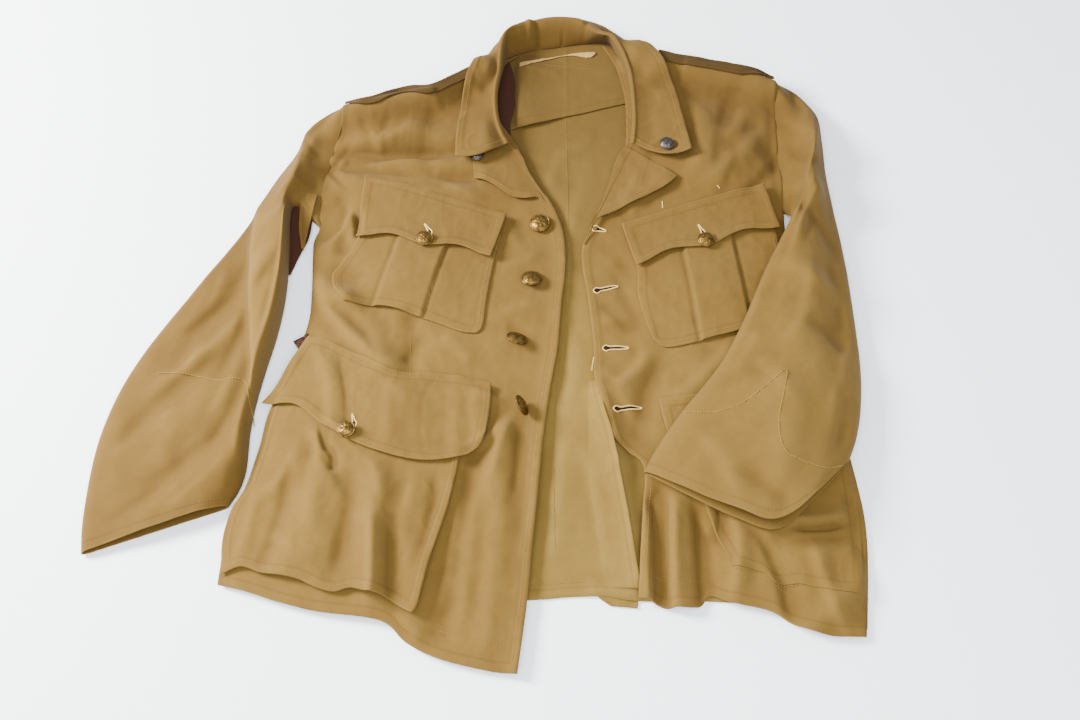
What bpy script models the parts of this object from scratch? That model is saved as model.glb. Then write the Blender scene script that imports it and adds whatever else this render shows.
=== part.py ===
"""Khaki drill service tunic, laid on its back on a table with its front open.

Every cloth piece is a thin wall.  The body pieces, pockets, flaps and lapels are cut from one shared lattice of
heights over the table, so that a piece that lies on another is made from the same points, moved out.  The sleeves
are flattened tubes through rings, and the collar is a stand and fall swept round the neck.

X points to the wearer's left, Y to the collar and Z up, with the origin on the table under the middle of the back.
Tables are in millimetres, and the meshes are in metres.
"""

import math

import bmesh
import bpy
import numpy as np
from mathutils import Matrix, Vector
from mathutils.geometry import delaunay_2d_cdt

MM = 0.001
CLOTH = 1.5          # wall of one piece of drill, seams and turnings included
GAP = 0.3            # between pieces that lie on each other
SEAM = 0.5           # between pieces that meet edge to edge
CELL = 25.0          # lattice spacing
REACH_X = (-330.0, 352.0)
REACH_Y = (-374.0, 462.0)

FRONT_BUTTON = 22.5
POCKET_BUTTON = 18.5
COLLAR_STUD = 16.5

KHAKI = (0.434, 0.287, 0.107)
DARK_KHAKI = (0.330, 0.210, 0.075)
BRASS = (0.42, 0.27, 0.09)
BRONZE = (0.06, 0.055, 0.06)
CREAM = (0.72, 0.62, 0.45)

# Edges of the body, in the order of a walk along each: x, y
SIDE_RIGHT = [(-241, 164), (-246, 142), (-243, 85), (-243, 45), (-254, -5), (-268, -56), (-277, -105),
              (-284, -145), (-299, -172), (-303, -205), (-304, -247)]
SIDE_LEFT = [(268, 186), (269, 120), (275, 60), (286, 0), (300, -70), (309, -124), (314, -180), (311, -234),
             (302, -298)]
HEM_RIGHT = [(-304, -247), (-272, -256), (-245, -265), (-209, -274), (-165, -280), (-142, -286), (-122, -305),
             (-90, -320), (-50, -330), (-21, -334)]
HEM_LEFT = [(92, -262), (104, -264), (120, -271), (148, -270), (160, -258), (178, -266), (213, -274),
            (240, -290), (270, -298), (302, -298)]
OPENING_RIGHT = [(-21, -334), (-13, -271), (-8, -215), (-2, -151), (5, -75), (13, -20), (18, 10), (22, 60),
                 (27, 115), (24, 160), (12, 195), (0, 214), (-12, 236), (-22, 264), (-30, 282)]
OPENING_LEFT = [(92, -262), (98, -190), (103, -128), (88, -109), (72, -92), (65, -62), (56, -28), (56, 15),
                (51, 72), (46, 110), (46, 137), (54, 158), (63, 180), (77, 222), (86, 254), (97, 278)]
ARMHOLE_RIGHT = [(-222, 338), (-224, 312), (-229, 290), (-235, 262), (-240, 232), (-243, 195), (-241, 164)]
ARMHOLE_LEFT = [(270, 376), (271, 350), (271, 320), (269, 269), (270, 224), (268, 186)]
SHOULDER_RIGHT = [(-222, 338), (-192, 344), (-157, 360), (-124, 362), (-97, 378), (-72, 394), (-46, 407),
                  (-25, 413)]
SHOULDER_LEFT = [(270, 376), (250, 386), (209, 397), (172, 405), (138, 414), (110, 425), (74, 431)]
NECK_RIGHT = [(-25, 413), (-31, 398), (-35, 372), (-37, 342), (-37, 312), (-30, 282)]
NECK_LEFT = [(74, 431), (84, 408), (93, 378), (98, 348), (99, 318), (97, 278)]
NECK_BACK = [(-25, 413), (-15, 418.5), (-3, 422), (12, 424), (28, 427), (45, 430.5), (60, 432.5), (74, 431)]
HEM_BACK = [(-304, -243), (-200, -252), (-110, -262), (-11, -261), (29, -258), (60, -258), (89, -262),
            (150, -262), (220, -268), (304, -290)]
FACING_LOWER = [(-44, 303), (-20, 306), (3, 313), (22, 320), (50, 328), (76, 336), (112, 346)]

# Broad swells of the front above the back: x, y, reach x, reach y, height
SWELLS = [
    (-140, 262, 80, 95, 13),     # right chest
    (205, 275, 80, 95, 12),      # left chest
    (-130, 95, 95, 70, 7),       # right breast pocket
    (165, 90, 80, 70, 6),        # left breast pocket
    (-165, -60, 95, 60, 9),      # right waist
    (-185, -180, 90, 80, 10),    # right skirt
    (-60, -180, 50, 110, 5),     # right skirt, front
    (215, -60, 80, 80, 6),       # left waist
    (235, -215, 70, 60, 9),      # left skirt
    (-60, 330, 40, 60, 8),       # right neck
    (125, 350, 45, 60, 9),       # left neck
]

# Creases of the fronts: x and y of both ends, half width, height (a trough is negative)
FRONT_FOLDS = [
    (-224, 316, -192, 318, 17, 22),     # right shoulder ridge, at the sleeve
    (-192, 318, -124, 336, 17, 22),     # right shoulder ridge
    (-124, 336, -66, 376, 17, 20),      # right shoulder ridge, at the neck
    (110, 398, 172, 379, 17, 20),       # left shoulder ridge, at the neck
    (172, 379, 235, 366, 17, 22),       # left shoulder ridge
    (235, 366, 270, 352, 17, 22),       # left shoulder ridge, at the sleeve
    (-210, 262, -98, 262, 13, -5),      # trough over the right chest
    (-212, 246, -78, 232, 11, -5),      # second trough over the right chest
    (-222, 196, -240, 160, 12, -5),     # right armpit
    (-216, 160, -212, 135, 10, -5),     # beside the right armpit
    (-238, 88, -206, 66, 14, 6),        # side fold, upper
    (-206, 66, -158, -12, 14, 6),       # side fold, lower
    (-214, 108, -196, 96, 14, -4),      # hollow above the side fold
    (-135, 44, -133, -18, 9, -3),       # right dart
    (-160, -190, -159, -262, 16, 5),    # skirt pocket fold
    (-64, -120, -92, -290, 14, -5),     # beside the right bellows pocket
    (-36, -90, -46, -300, 16, 4),       # right skirt, inner roll
    (88, 108, 100, 40, 13, -4),         # beside the left breast pocket
    (250, 296, 258, 262, 15, -5),       # hollow over the left chest
    (188, 245, 206, 286, 14, 4),        # left chest fold
    (62, -30, 74, -88, 12, 4),          # left edge above the cuff
    (112, -165, 112, -268, 9, -6),      # left skirt groove
    (137, -170, 134, -270, 13, 6),      # left skirt ridge
    (98, -170, 100, -262, 9, 5),        # left skirt front roll
    (174, -172, 174, -200, 9, -4),      # short groove under the cuff
    (160, -205, 157, -268, 12, -4),     # left skirt, second groove
    (232, -205, 292, -200, 11, -4),     # crease under the cuff
    (300, -250, 250, -292, 13, 5),      # turned corner of the left skirt
]

# Creases of the back where it shows, as above
BACK_FOLDS = [
    (58, -40, 76, -120, 9, 3.5),        # edge of the back's fold, upper
    (76, -120, 92, -240, 9, 3.5),       # edge of the back's fold, lower
    (52, -252, 88, -254, 8, 3.0),       # roll at the back hem
    (20, -120, 10, -225, 14, 1.2),      # centre of the back skirt
]

# Where the back has them: lowest and highest x and y
BACK_CREASED = (np.array([-20.0, -290.0]), np.array([118.0, -10.0]))

# Corners of the breast flaps, from the top right corner of the wearer round: x, y
BREAST_FLAP_RIGHT = [(-194, 226), (-37, 176), (-53, 118), (-199, 146)]
BREAST_FLAP_LEFT = [(89, 165), (247, 216), (261, 158), (103, 108)]
BREAST_BAG_RIGHT = [(-190, 196), (-198, 146), (-212, 118), (-221, 101), (-217, 78), (-206, 60), (-180, 58),
                    (-156, 55), (-124, 44), (-100, 35), (-81, 28), (-66, 27), (-60, 36), (-56, 73), (-48, 125),
                    (-42, 152)]
BREAST_BAG_LEFT = [(96, 146), (104, 107), (104, 74), (111, 41), (118, 19), (130, 10), (154, 13), (182, 21),
                   (214, 30), (246, 40), (256, 52), (260, 100), (257, 158), (251, 194)]
# Box pleats of the breast bags: x and y of the middle line's ends, and width
PLEAT_RIGHT = (-127, 140, -149, 52, 52)
PLEAT_LEFT = (182, 132, 194, 24, 54)

SKIRT_FLAP_RIGHT = [(-241, 22), (-221, 17), (-198, 4), (-176, -9), (-155, -21), (-137, -24), (-111, -24),
                    (-79, -28), (-50, -36), (-50, -56), (-53, -84), (-58, -105), (-71, -117), (-84, -121),
                    (-107, -124), (-127, -123), (-150, -118), (-172, -110), (-190, -102), (-206, -92),
                    (-220, -82), (-235, -68), (-248, -60), (-267, -58), (-281, -56), (-268, -36), (-255, -5)]
SKIRT_BAG_RIGHT = [(-230, -8), (-195, -15), (-160, -34), (-90, -40), (-74, -56), (-80, -119), (-83, -141),
                   (-89, -171), (-96, -198), (-105, -230), (-114, -271), (-119, -279), (-132, -271), (-145, -263),
                   (-160, -261), (-177, -255), (-192, -258), (-209, -254), (-226, -246), (-244, -242),
                   (-264, -238), (-282, -232), (-301, -238), (-304, -205), (-299, -172), (-288, -148),
                   (-279, -105), (-272, -60), (-250, -20)]
SKIRT_FLAP_LEFT = [(120, -52), (150, -50), (200, -40), (250, -32), (286, -26), (294, -60), (296, -100),
                   (280, -128), (240, -140), (200, -138), (160, -122), (136, -106), (127, -88)]
SKIRT_BAG_LEFT = [(132, -66), (200, -54), (288, -42), (300, -90), (306, -140), (308, -200), (302, -258),
                  (272, -256), (245, -249), (222, -248), (210, -238), (181, -232), (172, -205), (158, -160),
                  (142, -110)]

LAPEL_RIGHT = [(-33, 278), (-22, 264), (-12, 236), (0, 214), (11, 194), (12, 181), (5, 191), (-2, 202),
               (-15, 200), (-32, 203), (-54, 218), (-74, 228), (-75, 262)]
LAPEL_LEFT = [(97, 276), (86, 254), (77, 222), (63, 180), (54, 158), (48, 140), (62, 170), (84, 182),
              (124, 204), (142, 215), (152, 226), (138, 240)]

# Rings of the right sleeve, from the armhole down:
# outer x, outer y, inner x, inner y, bow, bow place, height, ridge place
SLEEVE_RIGHT = [
    (-223.0, 337.0, -242.0, 165.0, -6, 0.5, 18, 0.30),
    (-246, 318, -253, 178, -4, 0.5, 24, 0.32),
    (-267, 295, -263, 188, 0, 0.5, 26, 0.35),
    (-276, 256, -270, 192, 0, 0.5, 24, 0.40),
    (-300, 214, -274, 184, 0, 0.5, 22, 0.45),
    (-318, 172, -273, 152, 0, 0.5, 24, 0.50),
    (-344, 122, -270, 110, 0, 0.5, 26, 0.55),
    (-363, 88, -270, 73, 2, 0.5, 26, 0.62),
    (-382, 54, -273, 35, 4, 0.5, 25, 0.70),
    (-404, 16, -279, 0, 5, 0.5, 23, 0.78),
    (-423, -26, -286, -40, 6, 0.5, 21, 0.84),
    (-436, -70, -290, -78, 6, 0.5, 19, 0.88),
    (-442, -112, -290, -104, 5, 0.5, 18, 0.85),
    (-443, -150, -290, -128, 4, 0.5, 17, 0.80),
    (-442, -186, -294, -148, 2, 0.5, 15, 0.70),
    (-438, -216, -303, -167, 0, 0.5, 13, 0.60),
]
# Rings of the left sleeve, as above
SLEEVE_LEFT = [
    (272.0, 375.0, 270.5, 187.0, 2, 0.5, 18, 0.30),
    (297, 350, 277, 176, 2, 0.5, 25, 0.32),
    (312, 326, 277, 163, 2, 0.5, 28, 0.35),
    (320, 298, 268, 150, 2, 0.5, 29, 0.38),
    (319, 252, 257, 133, 2, 0.5, 29, 0.40),
    (322, 200, 247, 115, 2, 0.5, 27, 0.42),
    (326, 155, 236, 92, 3, 0.5, 25, 0.45),
    (329, 108, 224, 64, 4, 0.5, 24, 0.48),
    (330, 60, 211, 34, 6, 0.5, 23, 0.50),
    (330, 18, 195, 2, 10, 0.5, 22, 0.50),
    (329, -18, 176, -30, 18, 0.5, 22, 0.48),
    (325, -50, 151, -60, 30, 0.45, 22, 0.45),
    (320, -76, 129, -90, 44, 0.42, 21, 0.42),
    (313, -100, 113, -115, 58, 0.42, 20, 0.42),
    (303, -124, 101, -137, 70, 0.42, 19, 0.42),
]
SLEEVE_RINGS = 17
CUFF_START_RIGHT = 12
CUFF_START_LEFT = 12

# Stations of the collar, from its right point round the neck to its left point:
# seam x, y; roll x, y, z; fall x, y, rise of the fall above what it lies on
COLLAR = [
    (-30, 284, -34, 271, 21, -94, 249, 6.5),
    (-34, 298, -42, 289, 24, -94, 268, 5.0),
    (-37, 314, -47, 311, 27, -92, 296, 3.5),
    (-37, 342, -48, 340, 30, -88, 329, 2.5),
    (-33.5, 372, -44, 372, 33, -82, 362, 2.0),
    (-29, 398, -42, 402, 35, -73, 390, 2.0),
    (-25, 413, -37, 424, 36, -64, 414, 2.0),
    (-15, 419, -26, 440, 36, -44, 446, 2.0),
    (-3, 422.6, -10, 450, 36, -18, 468, 1.5),
    (12, 424.6, 10, 455, 36, 10, 478, 1.0),
    (28, 427.6, 30, 455, 36, 36, 478, 1.0),
    (45, 431.2, 50, 450, 36, 62, 470, 1.5),
    (60, 433.2, 67, 438, 36, 90, 452, 2.0),
    (75, 431, 80, 419, 36, 110, 431, 2.0),
    (84, 408, 91, 399, 35, 126, 408, 2.0),
    (93, 378, 100, 370, 32, 142, 378, 2.0),
    (98, 348, 103, 338, 30, 154, 346, 2.0),
    (99, 318, 104, 306, 27, 160, 312, 2.5),
    (98, 298, 103, 286, 24, 165, 280, 3.5),
    (97, 285, 101, 271, 21, 168, 254, 4.5),
]
COLLAR_RINGS = 30
STAND_FOOT_BACK = 1.9       # height of the stand's foot at the back neck
STAND_FOOT_FRONT = 1.6      # and above the fronts
STAND_CLEAR = 1.4           # between the stand's foot and the edge of a front
COLLAR_END_BOW = 9.0

# Buttons: name, x, y, diameter, tilt in degrees, the way it leans in degrees
FRONT_BUTTONS = [
    ("front_button_1", 0, 166, FRONT_BUTTON, 8, 200),
    ("front_button_2", -9, 93, FRONT_BUTTON, 14, 90),
    ("front_button_3", -24, 18, FRONT_BUTTON, 34, 60),
    ("front_button_4", -19, -63, FRONT_BUTTON, 62, 15),
]
POCKET_BUTTONS = [
    ("breast_button_right", -124, 138, POCKET_BUTTON, 4, 270),
    ("breast_button_left", 179, 138, POCKET_BUTTON, 4, 270),
    ("skirt_button_right", -191, -94, POCKET_BUTTON, 6, 230),
]


def smooth_curve(rows, spacing):
    """Points about a spacing apart on a Catmull-Rom curve through a table's rows."""
    rows = np.asarray(rows, float)
    ends = np.vstack([2 * rows[0] - rows[1], rows, 2 * rows[-1] - rows[-2]])
    points = []
    for i in range(len(rows) - 1):
        a, b, c, d = ends[i:i + 4]
        steps = max(1, int(round(np.linalg.norm((c - b)[:2]) / spacing)))
        t = (np.arange(steps) / steps)[:, None]
        points.append(0.5 * (2 * b + (c - a) * t + (2 * a - 5 * b + 4 * c - d) * t ** 2
                             + (3 * b - a - 3 * c + d) * t ** 3))
    return np.vstack(points + [rows[-1:]])


def resample_rows(rows, count):
    """A table's rows on smooth curves at a number of even steps."""
    rows = np.asarray(rows, float)
    ends = np.vstack([2 * rows[0] - rows[1], rows, 2 * rows[-1] - rows[-2]])
    places = np.linspace(0, len(rows) - 1, count)
    i = np.minimum(places.astype(int), len(rows) - 2)
    t = (places - i)[:, None]
    a, b, c, d = ends[i], ends[i + 1], ends[i + 2], ends[i + 3]
    return 0.5 * (2 * b + (c - a) * t + (2 * a - 5 * b + 4 * c - d) * t ** 2
                  + (3 * b - a - 3 * c + d) * t ** 3)


def crease(x, y, row):
    """A soft ridge or trough: a bell across a line between two points, which fades past its ends."""
    x0, y0, x1, y1, width, height = row
    length = math.hypot(x1 - x0, y1 - y0)
    ux, uy = (x1 - x0) / length, (y1 - y0) / length
    along = (x - x0) * ux + (y - y0) * uy
    across = (y - y0) * ux - (x - x0) * uy
    past = np.maximum(np.maximum(-along, along - length), 0.0)
    return height * np.exp(-(across / width) ** 2 - (past / width) ** 2)


def ridge_max(x, y, rows):
    """The highest of several ridges, so that ridges in a chain don't add up where they join."""
    return np.max([crease(x, y, row) for row in rows], axis=0)


def swell(x, y, row):
    """A broad dome."""
    cx, cy, rx, ry, height = row
    return height * np.exp(-((x - cx) / rx) ** 2 - ((y - cy) / ry) ** 2)


def curve_x(rows, y):
    """x of an edge at given y."""
    rows = np.asarray(rows, float)
    order = np.argsort(rows[:, 1])
    return np.interp(y, rows[order, 1], rows[order, 0])


def rise_from(distance, reach):
    """0 at an edge and 1 at a reach from it, with a round shoulder."""
    t = np.clip(distance / reach, 0.0, 1.0)
    return np.sqrt(1.0 - (1.0 - t) ** 2)


def back_lift(x, y):
    """Height of the back's underside over the table: flat but for the creases that show."""
    height = sum(crease(x, y, row) for row in BACK_FOLDS)
    low, high = BACK_CREASED
    held = (x > low[0]) & (x < high[0]) & (y > low[1]) & (y < high[1])
    return np.where(held & (height > 0.2), height, 0.0)


def front_air(x, y):
    """Room between the back and a front."""
    from_right = x - curve_x(SIDE_RIGHT + ARMHOLE_RIGHT[::-1][1:], y)
    from_left = curve_x(SIDE_LEFT + ARMHOLE_LEFT[::-1][1:], y) - x
    edge = rise_from(np.minimum(from_right, from_left), 22.0)
    body = sum(swell(x, y, row) for row in SWELLS) + 3.0
    body = body + sum(crease(x, y, row) for row in FRONT_FOLDS[6:])
    ridge = np.maximum(ridge_max(x, y, FRONT_FOLDS[:3]), ridge_max(x, y, FRONT_FOLDS[3:6]))
    fade = rise_from(shoulder_distance(x, y), 30.0)
    upper = np.clip(y - 150.0, 0.0, 60.0) / 60.0
    sides = edge * (1 - upper) + np.maximum(edge, 0.75) * upper
    air = np.maximum(body * fade, 0.0) * sides + ridge * fade
    return air * (0.15 + 0.85 * rise_from(neck_distance(x, y), 34.0))


def neck_distance(x, y):
    """Distance from the neck edges of the fronts."""
    near = np.full(np.shape(x), 1e6)
    for px, py in np.vstack([smooth_curve(NECK_RIGHT, 12.0), smooth_curve(NECK_LEFT, 12.0)]):
        near = np.minimum(near, np.hypot(x - px, y - py))
    return near


def shoulder_distance(x, y):
    """Distance in y from the far edge of the shoulders."""
    right = np.asarray(SHOULDER_RIGHT, float)
    left = np.asarray(SHOULDER_LEFT, float)[::-1]
    rows = np.vstack([right, left])
    return np.interp(x, rows[:, 0], rows[:, 1]) - y


def front_base(x, y):
    """Underside of the fronts."""
    return back_lift(x, y) + CLOTH + GAP + front_air(x, y)


def front_top(x, y):
    return front_base(x, y) + CLOTH


def inside(polygon, x, y):
    """True where a point is inside a polygon, by the even-odd rule."""
    polygon = np.asarray(polygon, float)
    a, b = polygon, np.roll(polygon, -1, axis=0)
    hit = np.zeros(np.shape(x), bool)
    for (x0, y0), (x1, y1) in zip(a, b):
        if y0 == y1:
            continue
        cross = (y0 > y) != (y1 > y)
        hit ^= cross & (x < (x1 - x0) * (y - y0) / (y1 - y0) + x0)
    return hit


def bag_puff(x, y):
    """Extra room that the pocket bags hold: a low dome on each, and the bellows of the right skirt pocket."""
    puff = swell(x, y, (-140, 90, 48, 34, 3.5)) + swell(x, y, (182, 80, 48, 36, 3.0))
    puff = puff + swell(x, y, (-190, -190, 84, 62, 8.0)) + swell(x, y, (-110, -240, 22, 52, 5.0))
    puff = puff + crease(x, y, (-160, -150, -158, -280, 15, 5.0)) + crease(x, y, (-226, -170, -240, -236, 18, 3.0))
    return puff + swell(x, y, (240, -215, 50, 40, 2.5))


def bag_base(x, y):
    return front_top(x, y) + GAP + bag_puff(x, y)


def plain_flap_base(x, y):
    """Underside of the skirt flaps, over their bags."""
    return bag_base(x, y) + CLOTH + GAP


def flap_base(x, y):
    """Underside of the breast flaps, over the bags and the pleats that lie on them."""
    return plain_flap_base(x, y) + CLOTH


def lattice_axes():
    xs = np.arange(REACH_X[0], REACH_X[1] + CELL / 2, CELL)
    ys = np.arange(REACH_Y[0], REACH_Y[1] + CELL / 2, CELL)
    return xs, ys


def on_lattice(field, x, y):
    """A field's height at any place, straight across each lattice triangle."""
    xs, ys = lattice_axes()
    heights = field(*np.meshgrid(xs, ys, indexing="ij"))
    i = np.clip(((x - xs[0]) / CELL).astype(int), 0, len(xs) - 2)
    j = np.clip(((y - ys[0]) / CELL).astype(int), 0, len(ys) - 2)
    fx = (x - xs[i]) / CELL
    fy = (y - ys[j]) / CELL
    h00, h10, h01, h11 = heights[i, j], heights[i + 1, j], heights[i, j + 1], heights[i + 1, j + 1]
    right = h00 + fx * (h10 - h00) + fy * (h11 - h10)
    left = h00 + fy * (h01 - h00) + fx * (h11 - h01)
    return np.where(fx >= fy, right, left)


def cut_lattice(outline, lines=(), window=None):
    """Triangles of the lattice inside an outline, cut along it and along extra lines.

    A window of x and y leaves the rest of the piece without lattice points, where it is flat.
    """
    x, y = outline[:, 0], outline[:, 1]
    if np.sum(x * np.roll(y, -1) - y * np.roll(x, -1)) < 0:
        outline = outline[::-1]
    xs, ys = lattice_axes()
    low, high = (outline.min(axis=0), outline.max(axis=0)) if window is None else window
    xs = xs[(xs >= low[0] - CELL) & (xs <= high[0] + CELL)]
    ys = ys[(ys >= low[1] - CELL) & (ys <= high[1] + CELL)]
    grid = np.stack(np.meshgrid(xs, ys, indexing="ij"), axis=-1).reshape(-1, 2)
    index = np.arange(len(grid)).reshape(len(xs), len(ys))
    pairs = [(index[:-1, :], index[1:, :]), (index[:, :-1], index[:, 1:]), (index[:-1, :-1], index[1:, 1:])]
    edges = np.vstack([np.stack([a.ravel(), b.ravel()], axis=1) for a, b in pairs])
    points = [Vector(p) for p in grid]
    face = list(range(len(points), len(points) + len(outline)))
    points += [Vector(p) for p in outline]
    extra = []
    for line in lines:
        extra += [(len(points) + k, len(points) + k + 1) for k in range(len(line) - 1)]
        points += [Vector(p) for p in line]
    cut = delaunay_2d_cdt(points, [tuple(map(int, e)) for e in edges] + extra, [face], 0, 0.02)
    places, triangles, owners = cut[0], cut[2], cut[5]
    kept = np.array([t for t, owner in zip(triangles, owners) if owner])
    used, kept = np.unique(kept, return_inverse=True)
    places = np.array([places[i][:] for i in used])
    kept = kept.reshape(-1, 3)
    a, b, c = places[kept[:, 0]], places[kept[:, 1]], places[kept[:, 2]]
    turn = (b[:, 0] - a[:, 0]) * (c[:, 1] - a[:, 1]) - (b[:, 1] - a[:, 1]) * (c[:, 0] - a[:, 0])
    kept[turn < 0] = kept[turn < 0][:, ::-1]
    return places, kept


def border_edges(triangles):
    """Directed edges that only one triangle has."""
    edges = np.vstack([triangles[:, [0, 1]], triangles[:, [1, 2]], triangles[:, [2, 0]]])
    have = {tuple(e) for e in edges.tolist()}
    return np.array([e for e in edges.tolist() if (e[1], e[0]) not in have])


def make_material(name, colour, roughness, metallic):
    material = bpy.data.materials.new(name)
    material.use_nodes = True
    shader = material.node_tree.nodes["Principled BSDF"]
    shader.inputs["Base Color"].default_value = (*colour, 1.0)
    shader.inputs["Roughness"].default_value = roughness
    shader.inputs["Metallic"].default_value = metallic
    material.diffuse_color = (*colour, 1.0)
    return material


def make_object(name, vertices, faces, colour=KHAKI, roughness=0.9, metallic=0.0):
    """One named piece from points in millimetres."""
    mesh = bpy.data.meshes.new(name)
    mesh.from_pydata((np.asarray(vertices, float) * MM).tolist(), [], np.asarray(faces).tolist())
    mesh.validate()
    mesh.materials.append(make_material(name, colour, roughness, metallic))
    piece = bpy.data.objects.new(name, mesh)
    bpy.context.collection.objects.link(piece)
    return piece


def make_slab(name, outline, base, thickness=CLOTH, lines=(), detail=None, colour=KHAKI, window=None):
    """A wall cut from the lattice: its underside follows the base field, and its top lies a thickness above."""
    places, triangles = cut_lattice(np.asarray(outline, float), lines, window)
    x, y = places[:, 0], places[:, 1]
    low = on_lattice(base, x, y)
    high = low + thickness
    if detail is not None:
        high = high + detail(x, y)
    count = len(places)
    vertices = np.vstack([np.column_stack([x, y, high]), np.column_stack([x, y, low])])
    border = border_edges(triangles)
    walls = np.vstack([np.column_stack([border[:, 1], border[:, 0], border[:, 0] + count]),
                       np.column_stack([border[:, 1], border[:, 0] + count, border[:, 1] + count])])
    faces = np.vstack([triangles, triangles[:, ::-1] + count, walls])
    return make_object(name, vertices, faces, colour)


def joined(*edges):
    """One outline from edges that follow each other, each end point once."""
    points = np.vstack(edges)
    keep = np.linalg.norm(points - np.roll(points, -1, axis=0), axis=1) > 0.4
    return points[keep]


def shrunk(outline, amount):
    """An outline moved inwards by an amount, whichever way it runs."""
    outline = np.asarray(outline, float)
    before = outline - np.roll(outline, 1, axis=0)
    after = np.roll(outline, -1, axis=0) - outline
    before /= np.linalg.norm(before, axis=1)[:, None]
    after /= np.linalg.norm(after, axis=1)[:, None]
    way = before + after
    way /= np.maximum(np.linalg.norm(way, axis=1), 1e-9)[:, None]
    x, y = outline[:, 0], outline[:, 1]
    area = np.sum(x * np.roll(y, -1) - y * np.roll(x, -1))
    side = 1.0 if area > 0 else -1.0
    return outline + side * amount * np.column_stack([-way[:, 1], way[:, 0]])


def front_outline(shoulder, armhole, side, hem, opening, neck):
    step = 17.0
    parts = [smooth_curve(part, step) for part in (shoulder, armhole, side, hem, opening, neck)]
    return joined(*parts)


def make_back():
    step = 24.0
    parts = [smooth_curve(SHOULDER_RIGHT[::-1], step), smooth_curve(ARMHOLE_RIGHT, step),
             smooth_curve(SIDE_RIGHT[:-1] + [HEM_BACK[0]], step), smooth_curve(HEM_BACK, step),
             smooth_curve([HEM_BACK[-1]] + SIDE_LEFT[::-1][1:], step), smooth_curve(ARMHOLE_LEFT[::-1], step),
             smooth_curve(SHOULDER_LEFT, step), smooth_curve(NECK_BACK[::-1], step)]
    make_slab("back", joined(*parts), back_lift, window=BACK_CREASED)
    side = [(-44, 303), (-42, 345), (-36, 384), (-26, 408)]
    far = [(74, 427), (92, 392), (104, 360), (112, 346)]
    neck = smooth_curve([(-26, 408), (-15, 415), (-3, 418.5), (12, 420.5), (28, 423.5), (45, 427), (60, 429),
                         (74, 427)], step)
    facing = joined(smooth_curve(side, step), neck, smooth_curve(far, step), smooth_curve(FACING_LOWER[::-1], step))
    make_slab("back_neck_facing", facing, lambda x, y: back_lift(x, y) + CLOTH + GAP, thickness=1.2)


def make_fronts():
    right = front_outline(SHOULDER_RIGHT[::-1], ARMHOLE_RIGHT, SIDE_RIGHT, HEM_RIGHT, OPENING_RIGHT,
                          NECK_RIGHT[::-1])
    left = front_outline(SHOULDER_LEFT[::-1], ARMHOLE_LEFT, SIDE_LEFT, HEM_LEFT[::-1], OPENING_LEFT,
                         NECK_LEFT[::-1])
    make_slab("front_right", right, front_base)
    make_slab("front_left", left, front_base)


def pleat_detail(row):
    """A box pleat: one more layer inside two lines along its middle line."""
    x0, y0, x1, y1, width = row
    length = math.hypot(x1 - x0, y1 - y0)
    ux, uy = (x1 - x0) / length, (y1 - y0) / length

    def detail(x, y):
        across = np.abs((y - y0) * ux - (x - x0) * uy)
        return np.where(across < width / 2 + 0.4, CLOTH, 0.0)

    ends = []
    for side in (-1, 1):
        for shift in (0.0, 1.4):
            offset = side * (width / 2 + shift)
            ends.append([(x0 - ux * 40 - uy * offset, y0 - uy * 40 + ux * offset),
                         (x1 + ux * 40 - uy * offset, y1 + uy * 40 + ux * offset)])
    return detail, ends


def clipped_line(line, outline):
    """The part of a line that lies inside an outline, a little short of its edge."""
    a, b = np.asarray(line[0], float), np.asarray(line[1], float)
    t = np.linspace(0, 1, 400)[:, None]
    points = a + (b - a) * t
    held = inside(shrunk(outline, 1.0), points[:, 0], points[:, 1])
    points = points[held]
    return [points[0], points[-1]]


def flap_outline(corners, rise=8.0):
    """A pocket flap with a straight top and a lower edge with a point in the middle and two hollows."""
    top_start, top_end, low_end, low_start = [np.asarray(c, float) for c in corners]
    s = np.linspace(0, 1, 17)[:, None]
    wave = rise * 0.5 * (1 - np.cos(4 * math.pi * s)) * np.where((s > 0.02) & (s < 0.98), 1.0, 0.0)
    up = (top_start + top_end - low_start - low_end) / 2
    up /= np.linalg.norm(up)
    low = low_end + (low_start - low_end) * s + wave * up
    t = np.linspace(0, 1, 5)[:, None]
    return joined(top_start + (top_end - top_start) * np.linspace(0, 1, 9)[:, None],
                  (top_end + (low_end - top_end) * t), low, (low_start + (top_start - low_start) * t))


def make_pockets():
    for side, bag, pleat, flap in (("right", BREAST_BAG_RIGHT, PLEAT_RIGHT, BREAST_FLAP_RIGHT),
                                   ("left", BREAST_BAG_LEFT, PLEAT_LEFT, BREAST_FLAP_LEFT)):
        detail, lines = pleat_detail(pleat)
        outline = np.asarray(bag, float)
        lines = [clipped_line(line, outline) for line in lines]
        make_slab("breast_pocket_" + side, outline, bag_base, lines=lines, detail=detail)
        make_slab("breast_flap_" + side, flap_outline(flap), flap_base)
    make_slab("skirt_pocket_right", SKIRT_BAG_RIGHT, bag_base)
    make_slab("skirt_pocket_left", SKIRT_BAG_LEFT, bag_base)
    make_slab("skirt_flap_right", SKIRT_FLAP_RIGHT, plain_flap_base)
    make_slab("skirt_flap_left", SKIRT_FLAP_LEFT, plain_flap_base)


def make_lapels():
    base = lambda x, y: front_top(x, y) + GAP
    make_slab("lapel_right", shrunk(smooth_curve(LAPEL_RIGHT + LAPEL_RIGHT[:1], 17.0)[:-1], 0.3), base)
    make_slab("lapel_left", shrunk(smooth_curve(LAPEL_LEFT + LAPEL_LEFT[:1], 17.0)[:-1], 0.3), base)


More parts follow.
